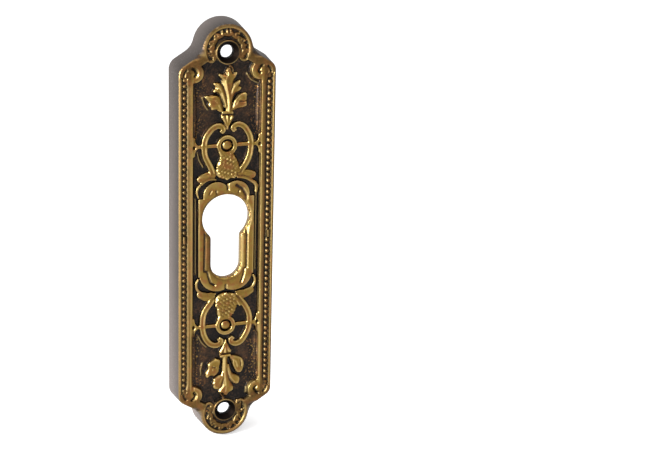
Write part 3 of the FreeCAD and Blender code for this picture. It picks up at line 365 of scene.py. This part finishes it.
BAR_LEAF = [(10.8, 0), (12.0, 1.0), (12.7, 2.2), (13.1, 3.9), (14.6, 3.9), (15.0, 0), (14.6, -3.9), (13.1, -3.9),
            (12.7, -2.2), (12.0, -1.0)]
for end in (-1, 1):
    centre = end * ROSETTE_HEIGHT
    rib(round_places(0, centre, 3.3, 30, 14), 0.78, BAND_RISE + 0.05, HOLLOW)
    dome(0, centre, 1.95, BAND_RISE + 0.1, GROUND, 0.55)
    for side in (-1, 1):
        rib([(side * 3.9, centre), (side * 12.4, centre)], 0.76, BAND_RISE - 0.25)
        slab([(side * x, centre + side * z) for x, z in BAR_LEAF], 1.75)
LEAF_TIPS = (  # two small ones beside the lower bud: places, half-widths and rise
    ([(-3.1, -30.2), (-2.5, -32.2), (-1.8, -34.4)], [0.4, 1.1, 0.5], 2.15),
    ([(3.9, -25.4), (4.9, -27.2), (5.9, -29.4)], [0.4, 0.8, 0.4], 2.2),
)
for points, halves, rise in LEAF_TIPS:
    rib(points, halves, rise, SHARP)

# The buds, like fir cones in brass: a swelling body with small scales in slanting rows, pressed into the pattern one
# by one and none quite like its neighbour. Two small sepals hold each bud at its narrow end.
BUD = [(-2.5, 34.0), (-3.1, 31.5), (-4.2, 29.2), (-4.3, 26.8), (-3.6, 24.8), (-1.9, 23.7), (0.2, 23.4), (2.4, 23.8),
       (4.0, 24.8), (5.4, 26.6), (5.2, 28.6), (4.4, 30.9), (2.6, 33.8)]
BUD_HEIGHTS = [23.6, 24.6, 26.6, 29.0, 31.5, 34.4]
BUD_HALVES = [1.6, 3.2, 4.3, 4.1, 3.2, 2.3]
BUD_MIDDLE = (0.2, 28.7)
SCALE_PITCH = 1.3
SCALE_ROW = 0.8
SCALE_SLANT = 0.45
SCALE_SHIFT = 0.17
for end in (1, -1):
    slab([(x, end * z) for x, z in BUD[::end]], 1.7, 0.9)
    for row in range(-6, 7):
        for column in range(-6, 7):
            x = (column + 0.5 * (row % 2)) * SCALE_PITCH + SCALE_SHIFT * math.sin(12.9 * row + 7.1 * column)
            z = SCALE_ROW * row - SCALE_SLANT * x + SCALE_SHIFT * math.sin(5.3 * row + 11.7 * column)
            x, z = BUD_MIDDLE[0] + x, BUD_MIDDLE[1] + z
            if 23.8 < z < 34.2 and abs(x - 0.3) < np.interp(z, BUD_HEIGHTS, BUD_HALVES):
                dome(x, end * z, 0.66, 2.12 + 0.13 * math.sin(3.7 * row + 5.9 * column))
    for x, z in ((-3.0, 35.0), (1.7, 34.3)):
        rib([(0.7 * x, end * (z - 1.8)), (x, end * z)], [0.9, 0.5], [2.2, 2.15], SHARP)

# The wings of brass that spread from a bud's foot, each a plain leaf with one soft rib, and the thin line that hooks
# round under each of them. Both were carved free-hand in the pattern, so the four are alike but not the same.
WINGS = [
    [(-4.2, 24.9), (-5.0, 26.4), (-6.6, 27.0), (-8.6, 26.7), (-10.4, 25.9), (-12.0, 24.1), (-11.0, 22.9),
     (-9.0, 23.7), (-7.3, 24.3)],
    [(4.6, 24.9), (6.7, 24.5), (8.8, 23.8), (10.8, 23.1), (11.9, 24.0), (11.9, 25.4), (10.2, 26.4), (8.1, 26.9),
     (6.3, 26.6), (4.9, 26.2)],
    [(4.6, -25.8), (6.0, -26.2), (8.0, -26.5), (10.0, -25.6), (11.8, -24.0), (11.5, -22.6), (9.5, -22.4),
     (7.4, -23.0), (5.0, -23.2)],
    [(-5.0, -23.2), (-7.4, -23.0), (-9.5, -22.4), (-11.5, -22.6), (-11.8, -24.0), (-10.0, -25.6), (-8.0, -26.5),
     (-6.0, -26.2), (-4.6, -25.8)],
]
HOOKS = [
    [(-4.1, 23.7), (-7.1, 23.8), (-9.6, 22.6), (-11.5, 20.8), (-12.0, 19.0), (-11.4, 16.6)],
    [(4.2, 24.3), (7.6, 23.6), (10.2, 22.2), (12.0, 20.5), (12.2, 19.0), (11.9, 17.3)],
    [(4.0, -23.6), (6.8, -23.9), (9.6, -23.0), (11.6, -21.4), (12.1, -18.9), (11.2, -16.8)],
    [(-4.0, -23.6), (-6.8, -23.9), (-9.6, -23.0), (-11.6, -21.4), (-12.1, -18.9), (-11.2, -16.8)],
]
for outline in WINGS:
    slab(outline, 1.5, 0.6)
for end, wing_rib in ((1, [(4.4, 25.5), (7.4, 25.5), (10.9, 24.9)]), (-1, [(4.4, 24.6), (7.4, 24.9), (10.9, 24.1)])):
    for side in (-1, 1):
        rib([(side * x, end * z) for x, z in wing_rib], [0.7, 1.1, 0.8], [1.8, 1.95, 1.7], SHARP)
HOOK_HALVES = (0.35, 0.4, 0.48, 0.5, 0.45, 0.3)
HOOK_FULLNESS = (1.0, 1.45, 1.15, 1.15)
for path, fullness in zip(HOOKS, HOOK_FULLNESS):
    rib(path, [half * fullness for half in HOOK_HALVES], 1.2 + 0.3 * fullness, ROUND)

# The wreaths in the two brass lugs: a garland of small three-lobed leaves round the screw hole, pressed into the
# pattern one by one, with a curled tongue at each end of it and a thin raised lip round the hole's countersink.
LEAVES_IN_WREATH = 9
FIRST_LEAF = -18
LEAF_STEP = 27
LOBES = ((-16, 7.2, 0.7), (2, 7.9, 0.75), (16, 6.9, 0.65))  # turn in degrees, reach and half-width
BERRIES = ((9, 6.2, 0.62), (17, 7.5, 0.5))  # turn in degrees, reach and radius
TONGUE = [(5.0, 75.2), (4.8, 72.6), (5.4, 71.2), (6.6, 70.7), (7.9, 71.2), (8.4, 72.8), (8.2, 75.2)]
TONGUE_HALVES = [0.25, 0.4, 0.5, 0.55, 0.5, 0.4, 0.25]
for end in (-1, 1):
    for number in range(LEAVES_IN_WREATH):
        sway = math.sin(7.3 * number + 2.1 * end)
        turn = math.radians(FIRST_LEAF + LEAF_STEP * number + 4 * sway)
        root = (5.5 + 0.2 * sway, turn - math.radians(10))
        for spread, reach, half in LOBES:
            middle = (0.5 * (root[0] + reach), turn + math.radians(0.7 * spread))
            tip = (reach + 0.2 * sway, turn + math.radians(spread + 6 * sway))
            points = [(r * math.cos(t), end * (DOME_HEIGHT + r * math.sin(t))) for r, t in (root, middle, tip)]
            rib(points, [0.4, half, 0.35], [0.8, 1.05 + 0.1 * sway, 0.7], SHARP, WREATH_FLOOR)
        for spread, reach, radius in BERRIES:
            angle = turn + math.radians(spread - 5 * sway)
            dome(reach * math.cos(angle), end * (DOME_HEIGHT + reach * math.sin(angle)), radius, 1.0, WREATH_FLOOR)
    for side in (-1, 1):
        rib([(side * x, end * z) for x, z in TONGUE], TONGUE_HALVES, 1.75, ROUND)
        dome(side * 6.6, end * 72.9, 1.3, 1.3, GROUND, 0.6)
    rib([(x, end * z) for x, z in round_places(0, HOLE_HEIGHT, 4.5, 30, 14)], 0.3, 1.9, ROUND)

# Thin lines of brass that stand a little above the ground beside the ornament. They come from scratches in the sand
# mould, where the pattern's loose parts met its ground.
SCRIBED = [
    [(12.4, 18), (12.3, 0), (12.3, -15)],
    [(-12.4, 16), (-12.3, 0), (-12.3, -15)],
    [(-9.8, 56.6), (-8.9, 53.6), (-7.5, 51.6)],
    [(8.0, 65.2), (9.6, 62.8), (12.4, 61.2)],
    [(-11.6, 34.6), (-11.0, 31.9), (-9.3, 28.8)],
    [(-7.6, -46.4), (-9.6, -44.2), (-10.9, -41.6)],
    [(-9.2, -53.2), (-9.9, -55.8), (-9.8, -58.2)],
    [(9.2, -65.8), (9.0, -68.0)],
]
for line in SCRIBED:
    rib(line, 0.35, 0.5, ROUND)

# The pattern leaves the sand and the brass is poured: plate and relief become one skin of even cells, and the
# founder's loss of sharpness takes the edges off. The forms' feet are made level first, and the carving stands up.
VOXEL = 0.25


def apply_modifier(piece, kind, **settings):
    """Give a piece a modifier with these settings and apply it."""
    select_only(piece)
    bpy.ops.object.modifier_add(type=kind)
    modifier = piece.modifiers[-1]
    for key, value in settings.items():
        setattr(modifier, key, value)
    bpy.ops.object.modifier_apply(modifier=modifier.name)


select_only(*relief)
bpy.ops.object.join()
carving = bpy.context.object
bpy.ops.object.mode_set(mode="EDIT")
bpy.ops.mesh.select_mode(type="VERT")
bpy.ops.mesh.select_all(action="DESELECT")
bpy.ops.object.mode_set(mode="OBJECT")
lowest = GROUND - RELIEF_ROOT
for vertex in carving.data.vertices:
    vertex.select = vertex.co.z < lowest * mm
bpy.ops.object.mode_set(mode="EDIT")
bpy.ops.transform.resize(value=(1, 1, 0), center_override=(0, 0, lowest * mm))
bpy.ops.object.mode_set(mode="OBJECT")
carving.rotation_euler.x = math.pi / 2
bpy.ops.object.transform_apply(rotation=True)
select_only(casting, carving)
bpy.ops.object.join()
for shape in (SHARP, FLAT, ROUND, HOLLOW):
    bpy.data.objects.remove(shape)
casting.data.remesh_voxel_size = VOXEL * mm
casting.data.remesh_voxel_adaptivity = 0
select_only(casting)
bpy.ops.object.voxel_remesh()
apply_modifier(casting, "SMOOTH", factor=0.5, iterations=4)


# The cold brass is finished by hand: a graver cuts the keyhole frame's grooves and flutes, the volutes' hollows, the
# eyes of the small leaves and the veins, and a file slopes the ridges and the rims and rounds the keyhole's bevel.
def place_of(mesh):
    """The mesh's points as three rows, in millimetres: across, out from the door, and up."""
    flat = np.empty(len(mesh.vertices) * 3, np.float32)
    mesh.vertices.foreach_get("co", flat)
    x, y, z = flat.reshape(-1, 3).T / mm
    return x, -y, z


def distance_to(path, x, z):
    """How far each place lies from a line through some places."""
    nearest = np.full(len(x), 1e9, np.float32)
    for (x0, z0), (x1, z1) in zip(path, path[1:]):
        run = (x1 - x0, z1 - z0)
        share = ((x - x0) * run[0] + (z - z0) * run[1]) / (run[0] ** 2 + run[1] ** 2)
        share = np.clip(share, 0, 1)
        nearest = np.minimum(nearest, np.hypot(x - x0 - share * run[0], z - z0 - share * run[1]))
    return nearest


def ramp(value, low, high):
    """From 0 at low to 1 at high, and level beyond them."""
    return np.clip((value - low) / (high - low), 0, 1)


def ridge_crest(z):
    """How far across the ridge's highest line runs: a little further in towards the top of the plate."""
    return 14.5 - 0.7 * ramp(z, -40, 20)


GROOVES = [  # places, width and depth
    ([(8.6, 4), (8.55, -13.6), (7.7, -14.0), (7.3, -16.5), (6.6, -18.6), (6.2, -19.5)], 0.75, 0.75),
    ([(-8.7, 2), (-8.9, -13.8), (-7.6, -14.2), (-7.0, -17), (-6.2, -19), (-4.6, -20)], 0.75, 0.75),
    ([(4.2, 20.8), (6.5, 19.2), (8.1, 16.4), (8.1, 15.0)], 1.4, 0.65),
    ([(-6.2, 19.2), (-6.9, 18.0)], 0.6, 0.4),
    ([(0.4, 21.8), (0.6, 19.4)], 0.9, 0.7),
    ([(5.2, 18.7), (4.9, 17.7)], 0.6, 0.5),
    ([(-4.2, 19.1), (-3.9, 17.7)], 0.6, 0.5),
    ([(0, -20.2), (0, -22.4)], 0.8, 0.7),
    ([(-2.4, 49.8), (2.6, 49.6)], 0.4, 0.5),
    ([(-2.4, -49.8), (2.6, -49.8)], 0.4, 0.5),
    ([(-0.6, 66.2), (-0.5, 65.4)], 0.8, 0.9),
    ([(4.8, 54.7), (6.4, 54.3), (7.6, 54.6)], 0.4, 0.5),
    ([(6.4, -52.8), (6.7, -55.5)], 0.45, 0.5),
    ([(-5.2, -54.9), (-4.2, -55.2)], 0.4, 0.5),
]
CORNER_GROOVES = (
    ([(13.9, 68.4), (12.9, 67.5), (12.4, 66.3), (13.0, 65.3)], 0.7, 1.2),
    ([(17.4, 65.6), (17.0, 67.0), (16.3, 67.9)], 0.7, 0.9),
    ([(13.2, 36.9), (13.2, 37.3)], 0.9, 1.2),
)
for side in (-1, 1):
    for end in (-1, 1):
        for path, width, depth in CORNER_GROOVES:
            GROOVES.append(([(side * x, end * z) for x, z in path], width, depth))

x, height, z = place_of(casting.data)
across = np.abs(x)
along = np.abs(z)
from_dome = np.hypot(x, along - DOME_HEIGHT)
RIDGE_SIDES = (12.9, 16.4)
RIDGE_EDGE = 15.3
RIM_SIDE = 18.0
RIM_CREST = 18.6
LUG_RIM = 8.3
LUG_CREST = 8.9
ridge_end = ramp(along, 61, 65)
on_ridge = (across > RIDGE_SIDES[0]) & (across < RIDGE_SIDES[1])
on_ridge_edge = (across > RIDGE_EDGE) & (across < RIDGE_SIDES[1])
on_lug = (from_dome > LUG_RIM) & (along > 71)
SLOPES = (  # distance, its crest, the slopes before and after the crest, where, and how far faded out
    (across, ridge_crest(z), 0.3 + 0.5 * ramp(along, 36, 42), 0.35, on_ridge, ridge_end),
    (across, RIDGE_EDGE, -0.35, 1.4, on_ridge_edge, ridge_end),
    (across, RIM_CREST, 1.0, 0.6, across > RIM_SIDE, ramp(along, 63, 66)),
    (from_dome, LUG_CREST, 0.8, 0.5, on_lug, 1 - ramp(along, 71.5, 73.5)),
)
for distance, crest, inner_slope, outer_slope, region, fade in SLOPES:
    drop = np.where(distance > crest, outer_slope * (distance - crest), inner_slope * (crest - distance))
    crown = np.maximum(TOP - drop * (1 - fade), WREATH_FLOOR)
    height = np.where(region & (height > crown) & (height > GROUND + 0.5), crown, height)
GROOVE_LIP = 0.2  # how far a groove's slopes reach beyond its width
cut = np.zeros(len(x), np.float32)
for path, width, depth in GROOVES:
    share = ramp(distance_to(path, x, z), 0.5 * width + GROOVE_LIP, 0)
    cut = np.maximum(cut, depth * np.minimum(1.6 * share, 1))
height = np.where(height > GROUND + 0.3, np.maximum(height - cut, GROUND - 0.1), height)
casting.data.vertices.foreach_set("co", (np.stack([x, -height, z], 1) * mm).ravel())

KEYHOLE_CENTRE = (0, 7.6)
KEYHOLE_FOOT = (0, -11.4)
KEYHOLE_RADIUS = 9.5
SLOT_RADIUS = 6.0
BEVEL_REACH = 2.0


def keyhole_distance(x, z):
    """How far each place lies from the keyhole's edge: a circle over a slot."""
    from_circle = np.hypot(x - KEYHOLE_CENTRE[0], z - KEYHOLE_CENTRE[1]) - KEYHOLE_RADIUS
    return np.minimum(from_circle, distance_to([KEYHOLE_CENTRE, KEYHOLE_FOOT], x, z) - SLOT_RADIUS)


bevel = casting.vertex_groups.new(name="bevel")
bevel.add(np.flatnonzero(keyhole_distance(x, z) < BEVEL_REACH).tolist(), 1.0, "REPLACE")
apply_modifier(casting, "SMOOTH", factor=0.5, iterations=2)
apply_modifier(casting, "SMOOTH", factor=0.5, iterations=18, vertex_group="bevel")
casting.vertex_groups.clear()


# Age: wax and dirt have gathered in the recesses, and hands and cloths have kept the tops bright. Light is painted in
# as well: shade beside the forms and on faces turned from the left lamp, and highlights on those turned to it and on
# the crests. The levels of the face are averaged over a few millimetres, and each point is compared with the average
# about it.
def averaged(grid, cells):
    """A grid averaged over a square of so many cells each way, three times over."""
    for _ in range(3):
        for axis in (0, 1):
            total = np.cumsum(np.concatenate([np.zeros_like(np.take(grid, [0], axis)), grid], axis), axis)
            size = grid.shape[axis]
            low = np.clip(np.arange(size) - cells, 0, size)
            high = np.clip(np.arange(size) + cells + 1, 0, size)
            grid = np.take(total, high, axis) - np.take(total, low, axis)
            grid = grid / (2 * cells + 1)
    return grid


GRID_SIDE = 24
GRID_END = 90
NEAR = 3  # cells
WIDE = 8
TRIANGLES = 185000


def cells_of(x, z):
    return ((x + GRID_SIDE) / VOXEL).astype(int), ((z + GRID_END) / VOXEL).astype(int)


x, height, z = place_of(casting.data)
levels = np.zeros((int(2 * GRID_SIDE / VOXEL), int(2 * GRID_END / VOXEL)), np.float64)
np.maximum.at(levels, cells_of(x, z), height)
known = (levels > 8.5).astype(np.float64)
spread = averaged(known, NEAR)
near_mean = averaged(levels * known, NEAR) / np.maximum(spread, 1e-3)
wide_mean = averaged(levels * known, WIDE) / np.maximum(averaged(known, WIDE), 1e-3)

apply_modifier(casting, "DECIMATE", ratio=TRIANGLES / (2 * len(casting.data.polygons)))

x, height, z = place_of(casting.data)
across = np.abs(x)
along = np.abs(z)
over_near = height - near_mean[cells_of(x, z)]
over_wide = height - wide_mean[cells_of(x, z)]
inland = spread[cells_of(x, z)]
normals = np.empty(len(x) * 3, np.float32)
casting.data.vertices.foreach_get("normal", normals)
leftward = -normals.reshape(-1, 3)[:, 0]
from_dome = np.hypot(x, along - DOME_HEIGHT)
from_hole = np.hypot(x, along - HOLE_HEIGHT)
from_keyhole = keyhole_distance(x, z)

# Where each kind of place is, from 0 to 1.
opening = np.clip(ramp(from_keyhole, 1.2, 0.8) + ramp(from_hole, 4.8, 4.6), 0, 1)
side_wall = ramp(inland, 0.85, 0.7) * ramp(height, 11.6, 11.3) * (1 - opening)
behind = ramp(height, 8.6, 8.1) * ramp(inland, 0.8, 0.9)
specks = ramp(across, 8.5, 12) * ramp(along, 34, 42) * ramp(height, 11.0, 10.5)
sink = ramp(from_hole, 4.45, 4.2)
at_keyhole = ramp(from_keyhole, 1.0, 0.6) * ramp(height, 8.3, 8.8)
foot = ramp(across, 12.2, 12.6) * ramp(across, 14.4, 13.6) * ramp(along, 36, 42) * ramp(along, 64, 62)
wreath = ramp(from_dome, 8.6, 8.2) * ramp(from_hole, 4.7, 5.0)
# The land and bevel left of the slot: painted darker, as shade on a face turned from the left lamp.
shaded_left_land = ramp(x, -9.2, -8.6) * ramp(x, -5.9, -6.5) * ramp(z, -15, -13) * ramp(z, 5, 1)
outer = ramp(across, 14.3, 14.8)
border = np.maximum(outer, ramp(from_dome, 8.2, 8.6)) * np.maximum(outer, ramp(along, 66, 68))
border = np.maximum(border, ramp(from_hole, 5.0, 4.8))
# The crest lines of the ridges, rims and lugs: rubbed bright, with a painted highlight along them.
crest_wear_and_highlight = np.maximum(ramp(np.abs(across - ridge_crest(z)), 0.4, 0.1) * ramp(along, 65, 63),
                    ramp(np.abs(across - RIM_CREST), 0.35, 0.1) * ramp(along, 66, 65))
crest_wear_and_highlight = np.maximum(crest_wear_and_highlight, ramp(np.abs(from_dome - LUG_CREST), 0.35, 0.1) * ramp(along, 71.5, 73))
crest_wear_and_highlight = crest_wear_and_highlight * ramp(height, 11.4, 11.7)

# How far each place is rubbed back to brass, with painted shade beside the forms, on the left land and on the
# keyhole bevel's right-facing side, and a painted highlight along the crests; then how far it is polished, with
# painted highlights on left-facing slopes, on the keyhole bevel's left-facing side and along the scribed lines.
tops = ramp(height, 10.6, 11.6) * ramp(over_wide, -0.75, -0.05) * ramp(over_near, -0.4, 0.05)
# The open ground is brown, and it is painted near black next to the forms as shade.
ground_tone_and_shade = 0.02 + 0.2 * ramp(over_wide, -0.8, -0.1)
buffed_and_painted_light = ground_tone_and_shade + (1 - ground_tone_and_shade) * tops
buffed_and_painted_light = buffed_and_painted_light * (1 - 0.45 * border) * (1 - 0.35 * foot) * (1 - 0.4 * wreath) * (1 - 0.3 * shaded_left_land)
buffed_and_painted_light = np.maximum(buffed_and_painted_light, crest_wear_and_highlight)
# The keyhole's bevel is rubbed bright, and painted darker where it faces right, as shade from the left lamp.
buffed_and_painted_light = np.maximum(buffed_and_painted_light, at_keyhole * (1 - 0.6 * ramp(leftward, -0.2, -0.5))) - 1.2 * sink
# Polished convex edges, plus a painted highlight on upper slopes that face the left lamp.
polish_and_painted_light = np.maximum(ramp(over_near, 0.25, 0.9), ramp(leftward, 0.25, 0.55) * ramp(height, 10.5, 11.3))
polish_and_painted_light = polish_and_painted_light * (1 - 0.6 * border) * (1 - 0.9 * foot) * (1 - 0.6 * wreath)
polish_and_painted_light = np.maximum(polish_and_painted_light, 0.35 * crest_wear_and_highlight)
# A painted highlight on the keyhole bevel where it faces left.
polish_and_painted_light = np.maximum(polish_and_painted_light, 0.55 * at_keyhole * ramp(leftward, 0.3, 0.7)) * (1 - sink) * (1 - 0.8 * shaded_left_land)
# A painted reflection: a pale line along each scribed line.
for line in SCRIBED:
    polish_and_painted_light = np.maximum(polish_and_painted_light, 0.5 * ramp(distance_to(line, x, z), 0.45, 0.15))

# The side wall is painted paler towards the door, round the upper dome and at the lower end, and darker beside the
# upper shoulders: a painted reflection and highlight. The recesses keep a thin coat of wax.
wall_painted_light = (0.07 + 0.37 * ramp(height, 11.2, 2.0)) * (1 - 0.55 * ramp(z, 40, 68) + 0.35 * ramp(z, 76, 84))
wall_painted_light = wall_painted_light + 0.5 * ramp(z, -62, -72)
polish_and_painted_light = polish_and_painted_light * (1 - side_wall) + side_wall * wall_painted_light
waxed = 0.3 * (1 - buffed_and_painted_light.clip(0, 1)) * (1 - sink) * (1 - side_wall)
masks = {"buffed_and_painted_light": buffed_and_painted_light, "polish_and_painted_light": polish_and_painted_light, "side_wall": side_wall, "behind": behind, "specks": specks,
         "waxed": waxed}
for name, values in masks.items():
    attribute = casting.data.attributes.new(name, "FLOAT", "POINT")
    attribute.data.foreach_set("value", values.astype(np.float32))
select_only(casting)
bpy.ops.object.shade_smooth()
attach(casting, "root")
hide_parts("escutcheon_plate")


# Antique brass: a sand-cast copper and zinc alloy, stained dark and rubbed back by hand. It is gold where it is
# rubbed, orange-brown in patches, nearly black and waxed in the recesses, and dull grey-brown on the sides. Light is
# painted into it too: shade beside the forms and highlights on slopes and crests, from the masks, and a pale
# painted reflection on the side walls.
def linear(hex_colour):
    """An sRGB hex colour as linear values."""
    channels = [int(hex_colour[i:i + 2], 16) / 255 for i in (1, 3, 5)]
    return [c / 12.92 if c <= 0.04045 else ((c + 0.055) / 1.055) ** 2.4 for c in channels] + [1.0]


def add_node(tree, kind, inputs=None, **settings):
    """A node with its settings; its inputs are values, or another node's outputs to link."""
    node = tree.nodes.new(kind)
    for key, value in settings.items():
        setattr(node, key, value)
    for key, value in (inputs or {}).items():
        if isinstance(value, bpy.types.NodeSocket):
            tree.links.new(value, node.inputs[key])
        else:
            node.inputs[key].default_value = value
    return node.outputs


PATINA = ((0.0, "#140f0c"), (0.1, "#2a2018"), (0.22, "#3d2d20"), (0.45, "#533c1e"), (0.72, "#6f5529"),
          (0.97, "#866b33"))
ORANGE_BROWN = linear("#845530")
# The cream of polished brass, which the painted highlights use too.
POLISHED_AND_HIGHLIGHT = linear("#d6bc7c")
WALL_DARK = linear("#302a26")
# A pale grey for the side walls: a painted reflection of the white surroundings.
WALL_PAINTED_REFLECTION = linear("#8f8580")
BACK_BROWN = linear("#5b4a35")
STAIN_SIZE = 6  # sizes of the patterns, in millimetres
MOTTLE_SIZE = 2.6
GRIT_SIZE = 0.7
GRIT_DEPTH = 0.12
brass = bpy.data.materials.new("antique_brass")
brass.use_nodes = True
tree = brass.node_tree
tree.nodes.clear()
place = add_node(tree, "ShaderNodeTexCoord")["Object"]
buffed_and_painted_light, polish_and_painted_light, side_wall, behind, specks, waxed = (
    add_node(tree, "ShaderNodeAttribute", attribute_name=name)["Fac"] for name in masks)
stains, mottle, grit = (
    add_node(tree, "ShaderNodeTexNoise", {"Vector": place, "Scale": 1 / (size * mm), "Detail": detail})["Fac"]
    for size, detail in ((STAIN_SIZE, 5.0), (MOTTLE_SIZE, 3.0), (GRIT_SIZE, 4.0)))
uneven = add_node(tree, "ShaderNodeMath", {0: stains, 1: 0.45, 2: -0.475}, operation="MULTIPLY_ADD")[0]
uneven = add_node(tree, "ShaderNodeMath", {0: grit, 1: 0.5, 2: uneven}, operation="MULTIPLY_ADD")[0]
spots = add_node(tree, "ShaderNodeMapRange", {"Value": grit, "From Min": 0.58, "From Max": 0.66})[0]
uneven = add_node(tree, "ShaderNodeMath", {0: spots, 1: specks, 2: uneven}, operation="MULTIPLY_ADD")[0]
# This value carries the masks' painted shade and highlights as well as the real rubbing and stains.
rubbed_and_painted_light = add_node(tree, "ShaderNodeMath", {0: buffed_and_painted_light, 1: uneven}, operation="ADD", use_clamp=True)[0]
tone = tree.nodes.new("ShaderNodeValToRGB")
tree.links.new(rubbed_and_painted_light, tone.inputs[0])
stops = tone.color_ramp.elements
stops[0].position, stops[1].position = PATINA[0][0], PATINA[-1][0]
stops[0].color, stops[1].color = linear(PATINA[0][1]), linear(PATINA[-1][1])
for position, hex_colour in PATINA[1:-1]:
    stops.new(position).color = linear(hex_colour)
orange = add_node(tree, "ShaderNodeMapRange", {"Value": mottle, "From Min": 0.45, "From Max": 0.64, "To Max": 0.9})[0]
orange = add_node(tree, "ShaderNodeMath", {0: orange, 1: rubbed_and_painted_light}, operation="MULTIPLY")[0]
colour = add_node(tree, "ShaderNodeMix", {0: orange, 6: tone.outputs[0], 7: ORANGE_BROWN}, data_type="RGBA")[2]
# Painted highlights and polished edges both take the cream colour.
share = add_node(tree, "ShaderNodeMath", {0: polish_and_painted_light, 1: 0.65}, operation="MULTIPLY")[0]
colour = add_node(tree, "ShaderNodeMix", {0: share, 6: colour, 7: POLISHED_AND_HIGHLIGHT}, data_type="RGBA")[2]
# The side wall is mixed towards its painted pale reflection.
wall = add_node(tree, "ShaderNodeMix", {0: polish_and_painted_light, 6: WALL_DARK, 7: WALL_PAINTED_REFLECTION}, data_type="RGBA")[2]
colour = add_node(tree, "ShaderNodeMix", {0: side_wall, 6: colour, 7: wall}, data_type="RGBA")[2]
colour = add_node(tree, "ShaderNodeMix", {0: behind, 6: colour, 7: BACK_BROWN}, data_type="RGBA")[2]
metal = add_node(tree, "ShaderNodeMath", {0: side_wall, 1: -0.5, 2: 1.0}, operation="MULTIPLY_ADD")[0]
dull = add_node(tree, "ShaderNodeMath", {0: rubbed_and_painted_light, 1: -0.27, 2: 0.55}, operation="MULTIPLY_ADD")[0]
dull = add_node(tree, "ShaderNodeMath", {0: side_wall, 1: 0.12, 2: dull}, operation="MULTIPLY_ADD")[0]
bump = add_node(tree, "ShaderNodeBump", {"Strength": 0.35, "Distance": GRIT_DEPTH * mm, "Height": grit})[0]
surface = add_node(tree, "ShaderNodeBsdfPrincipled", {
    "Base Color": colour, "Metallic": metal, "Roughness": dull, "Coat Weight": waxed, "Coat Roughness": 0.25,
    "Normal": bump})[0]
add_node(tree, "ShaderNodeOutputMaterial", {"Surface": surface})
casting.data.materials.clear()
casting.data.materials.append(brass)


# The pale floor that the plate stands on: a wide sheet of matt card, laid flat. It looks a little lighter to the
# camera than it is lit, and keeps the plate's soft shadow.
FLOOR_SIZE = 6.0
bpy.ops.object.select_all(action="DESELECT")
bpy.ops.mesh.primitive_plane_add(size=FLOOR_SIZE, location=(0, 0, cad_box[0][2]))
card = bpy.context.object
card.name = "floor"
bpy.ops.object.transform_apply(location=True)
pale = bpy.data.materials.new("pale_floor")
pale.use_nodes = True
tree = pale.node_tree
tree.nodes.clear()
ray = add_node(tree, "ShaderNodeLightPath")
glow = add_node(tree, "ShaderNodeMath", {0: ray["Is Camera Ray"], 1: 0.45}, operation="MULTIPLY")[0]
matt = add_node(tree, "ShaderNodeBsdfDiffuse", {"Color": linear("#f2f2f2")})[0]
glow = add_node(tree, "ShaderNodeEmission", {"Strength": glow})[0]
surface = add_node(tree, "ShaderNodeAddShader", {0: matt, 1: glow})[0]
add_node(tree, "ShaderNodeOutputMaterial", {"Surface": surface})
card.data.materials.append(pale)

# The white paper behind it, hung all round like a photographer's tent. It is full white to the camera and in
# reflections, and softer as light.
world = bpy.data.worlds.new("studio")
bpy.context.scene.world = world
world.use_nodes = True
tree = world.node_tree
tree.nodes.clear()
ray = add_node(tree, "ShaderNodeLightPath")
seen = add_node(tree, "ShaderNodeMath", {0: ray["Is Camera Ray"], 1: ray["Is Glossy Ray"]}, operation="ADD")[0]
seen = add_node(tree, "ShaderNodeMath", {0: seen, 1: ray["Is Transmission Ray"]}, operation="ADD", use_clamp=True)[0]
strength = add_node(tree, "ShaderNodeMath", {0: seen, 1: 0.45, 2: 0.55}, operation="MULTIPLY_ADD")[0]
light = add_node(tree, "ShaderNodeBackground", {"Color": (1, 1, 1, 1), "Strength": strength})[0]
add_node(tree, "ShaderNodeOutputWorld", {"Surface": light})

# Two soft lamps, each a square of cloth before a bulb: a strong one at the left, which catches the slopes that face
# it, and a weaker one above.
LAMPS = (("left", (-0.9, -0.35, 0.2), 0.5, 18), ("above", (0.1, -0.3, 1.0), 0.8, 5))  # place, size and watts
for name, spot, size, power in LAMPS:
    bpy.ops.object.light_add(type="AREA", location=spot)
    lamp = bpy.context.object
    lamp.name = f"lamp_{name}"
    lamp.data.size = size
    lamp.data.energy = power
    lamp.rotation_euler = (-lamp.location).to_track_quat("-Z", "Y").to_euler()

# The camera stands where the photograph was taken: before the plate, to its left and a little above it. Its place
# and turn were found from the plate's outline.
CAMERA_PLACE = (-0.1956, -0.65284, 0.22905)
CAMERA_RIGHT = (0.94076, -0.33805, 0.02615)
CAMERA_UP = (0.0836, 0.30599, 0.94836)
CAMERA_BACK = (-0.32859, -0.88999, 0.31613)
bpy.ops.object.camera_add()
camera = bpy.context.object
turned = Matrix((CAMERA_RIGHT, CAMERA_UP, CAMERA_BACK)).transposed().to_4x4()
camera.matrix_world = Matrix.Translation(CAMERA_PLACE) @ turned
camera.data.lens = 99.7
camera.data.sensor_width = 36.0
bpy.context.scene.camera = camera
bpy.context.scene.view_settings.view_transform = "Standard"
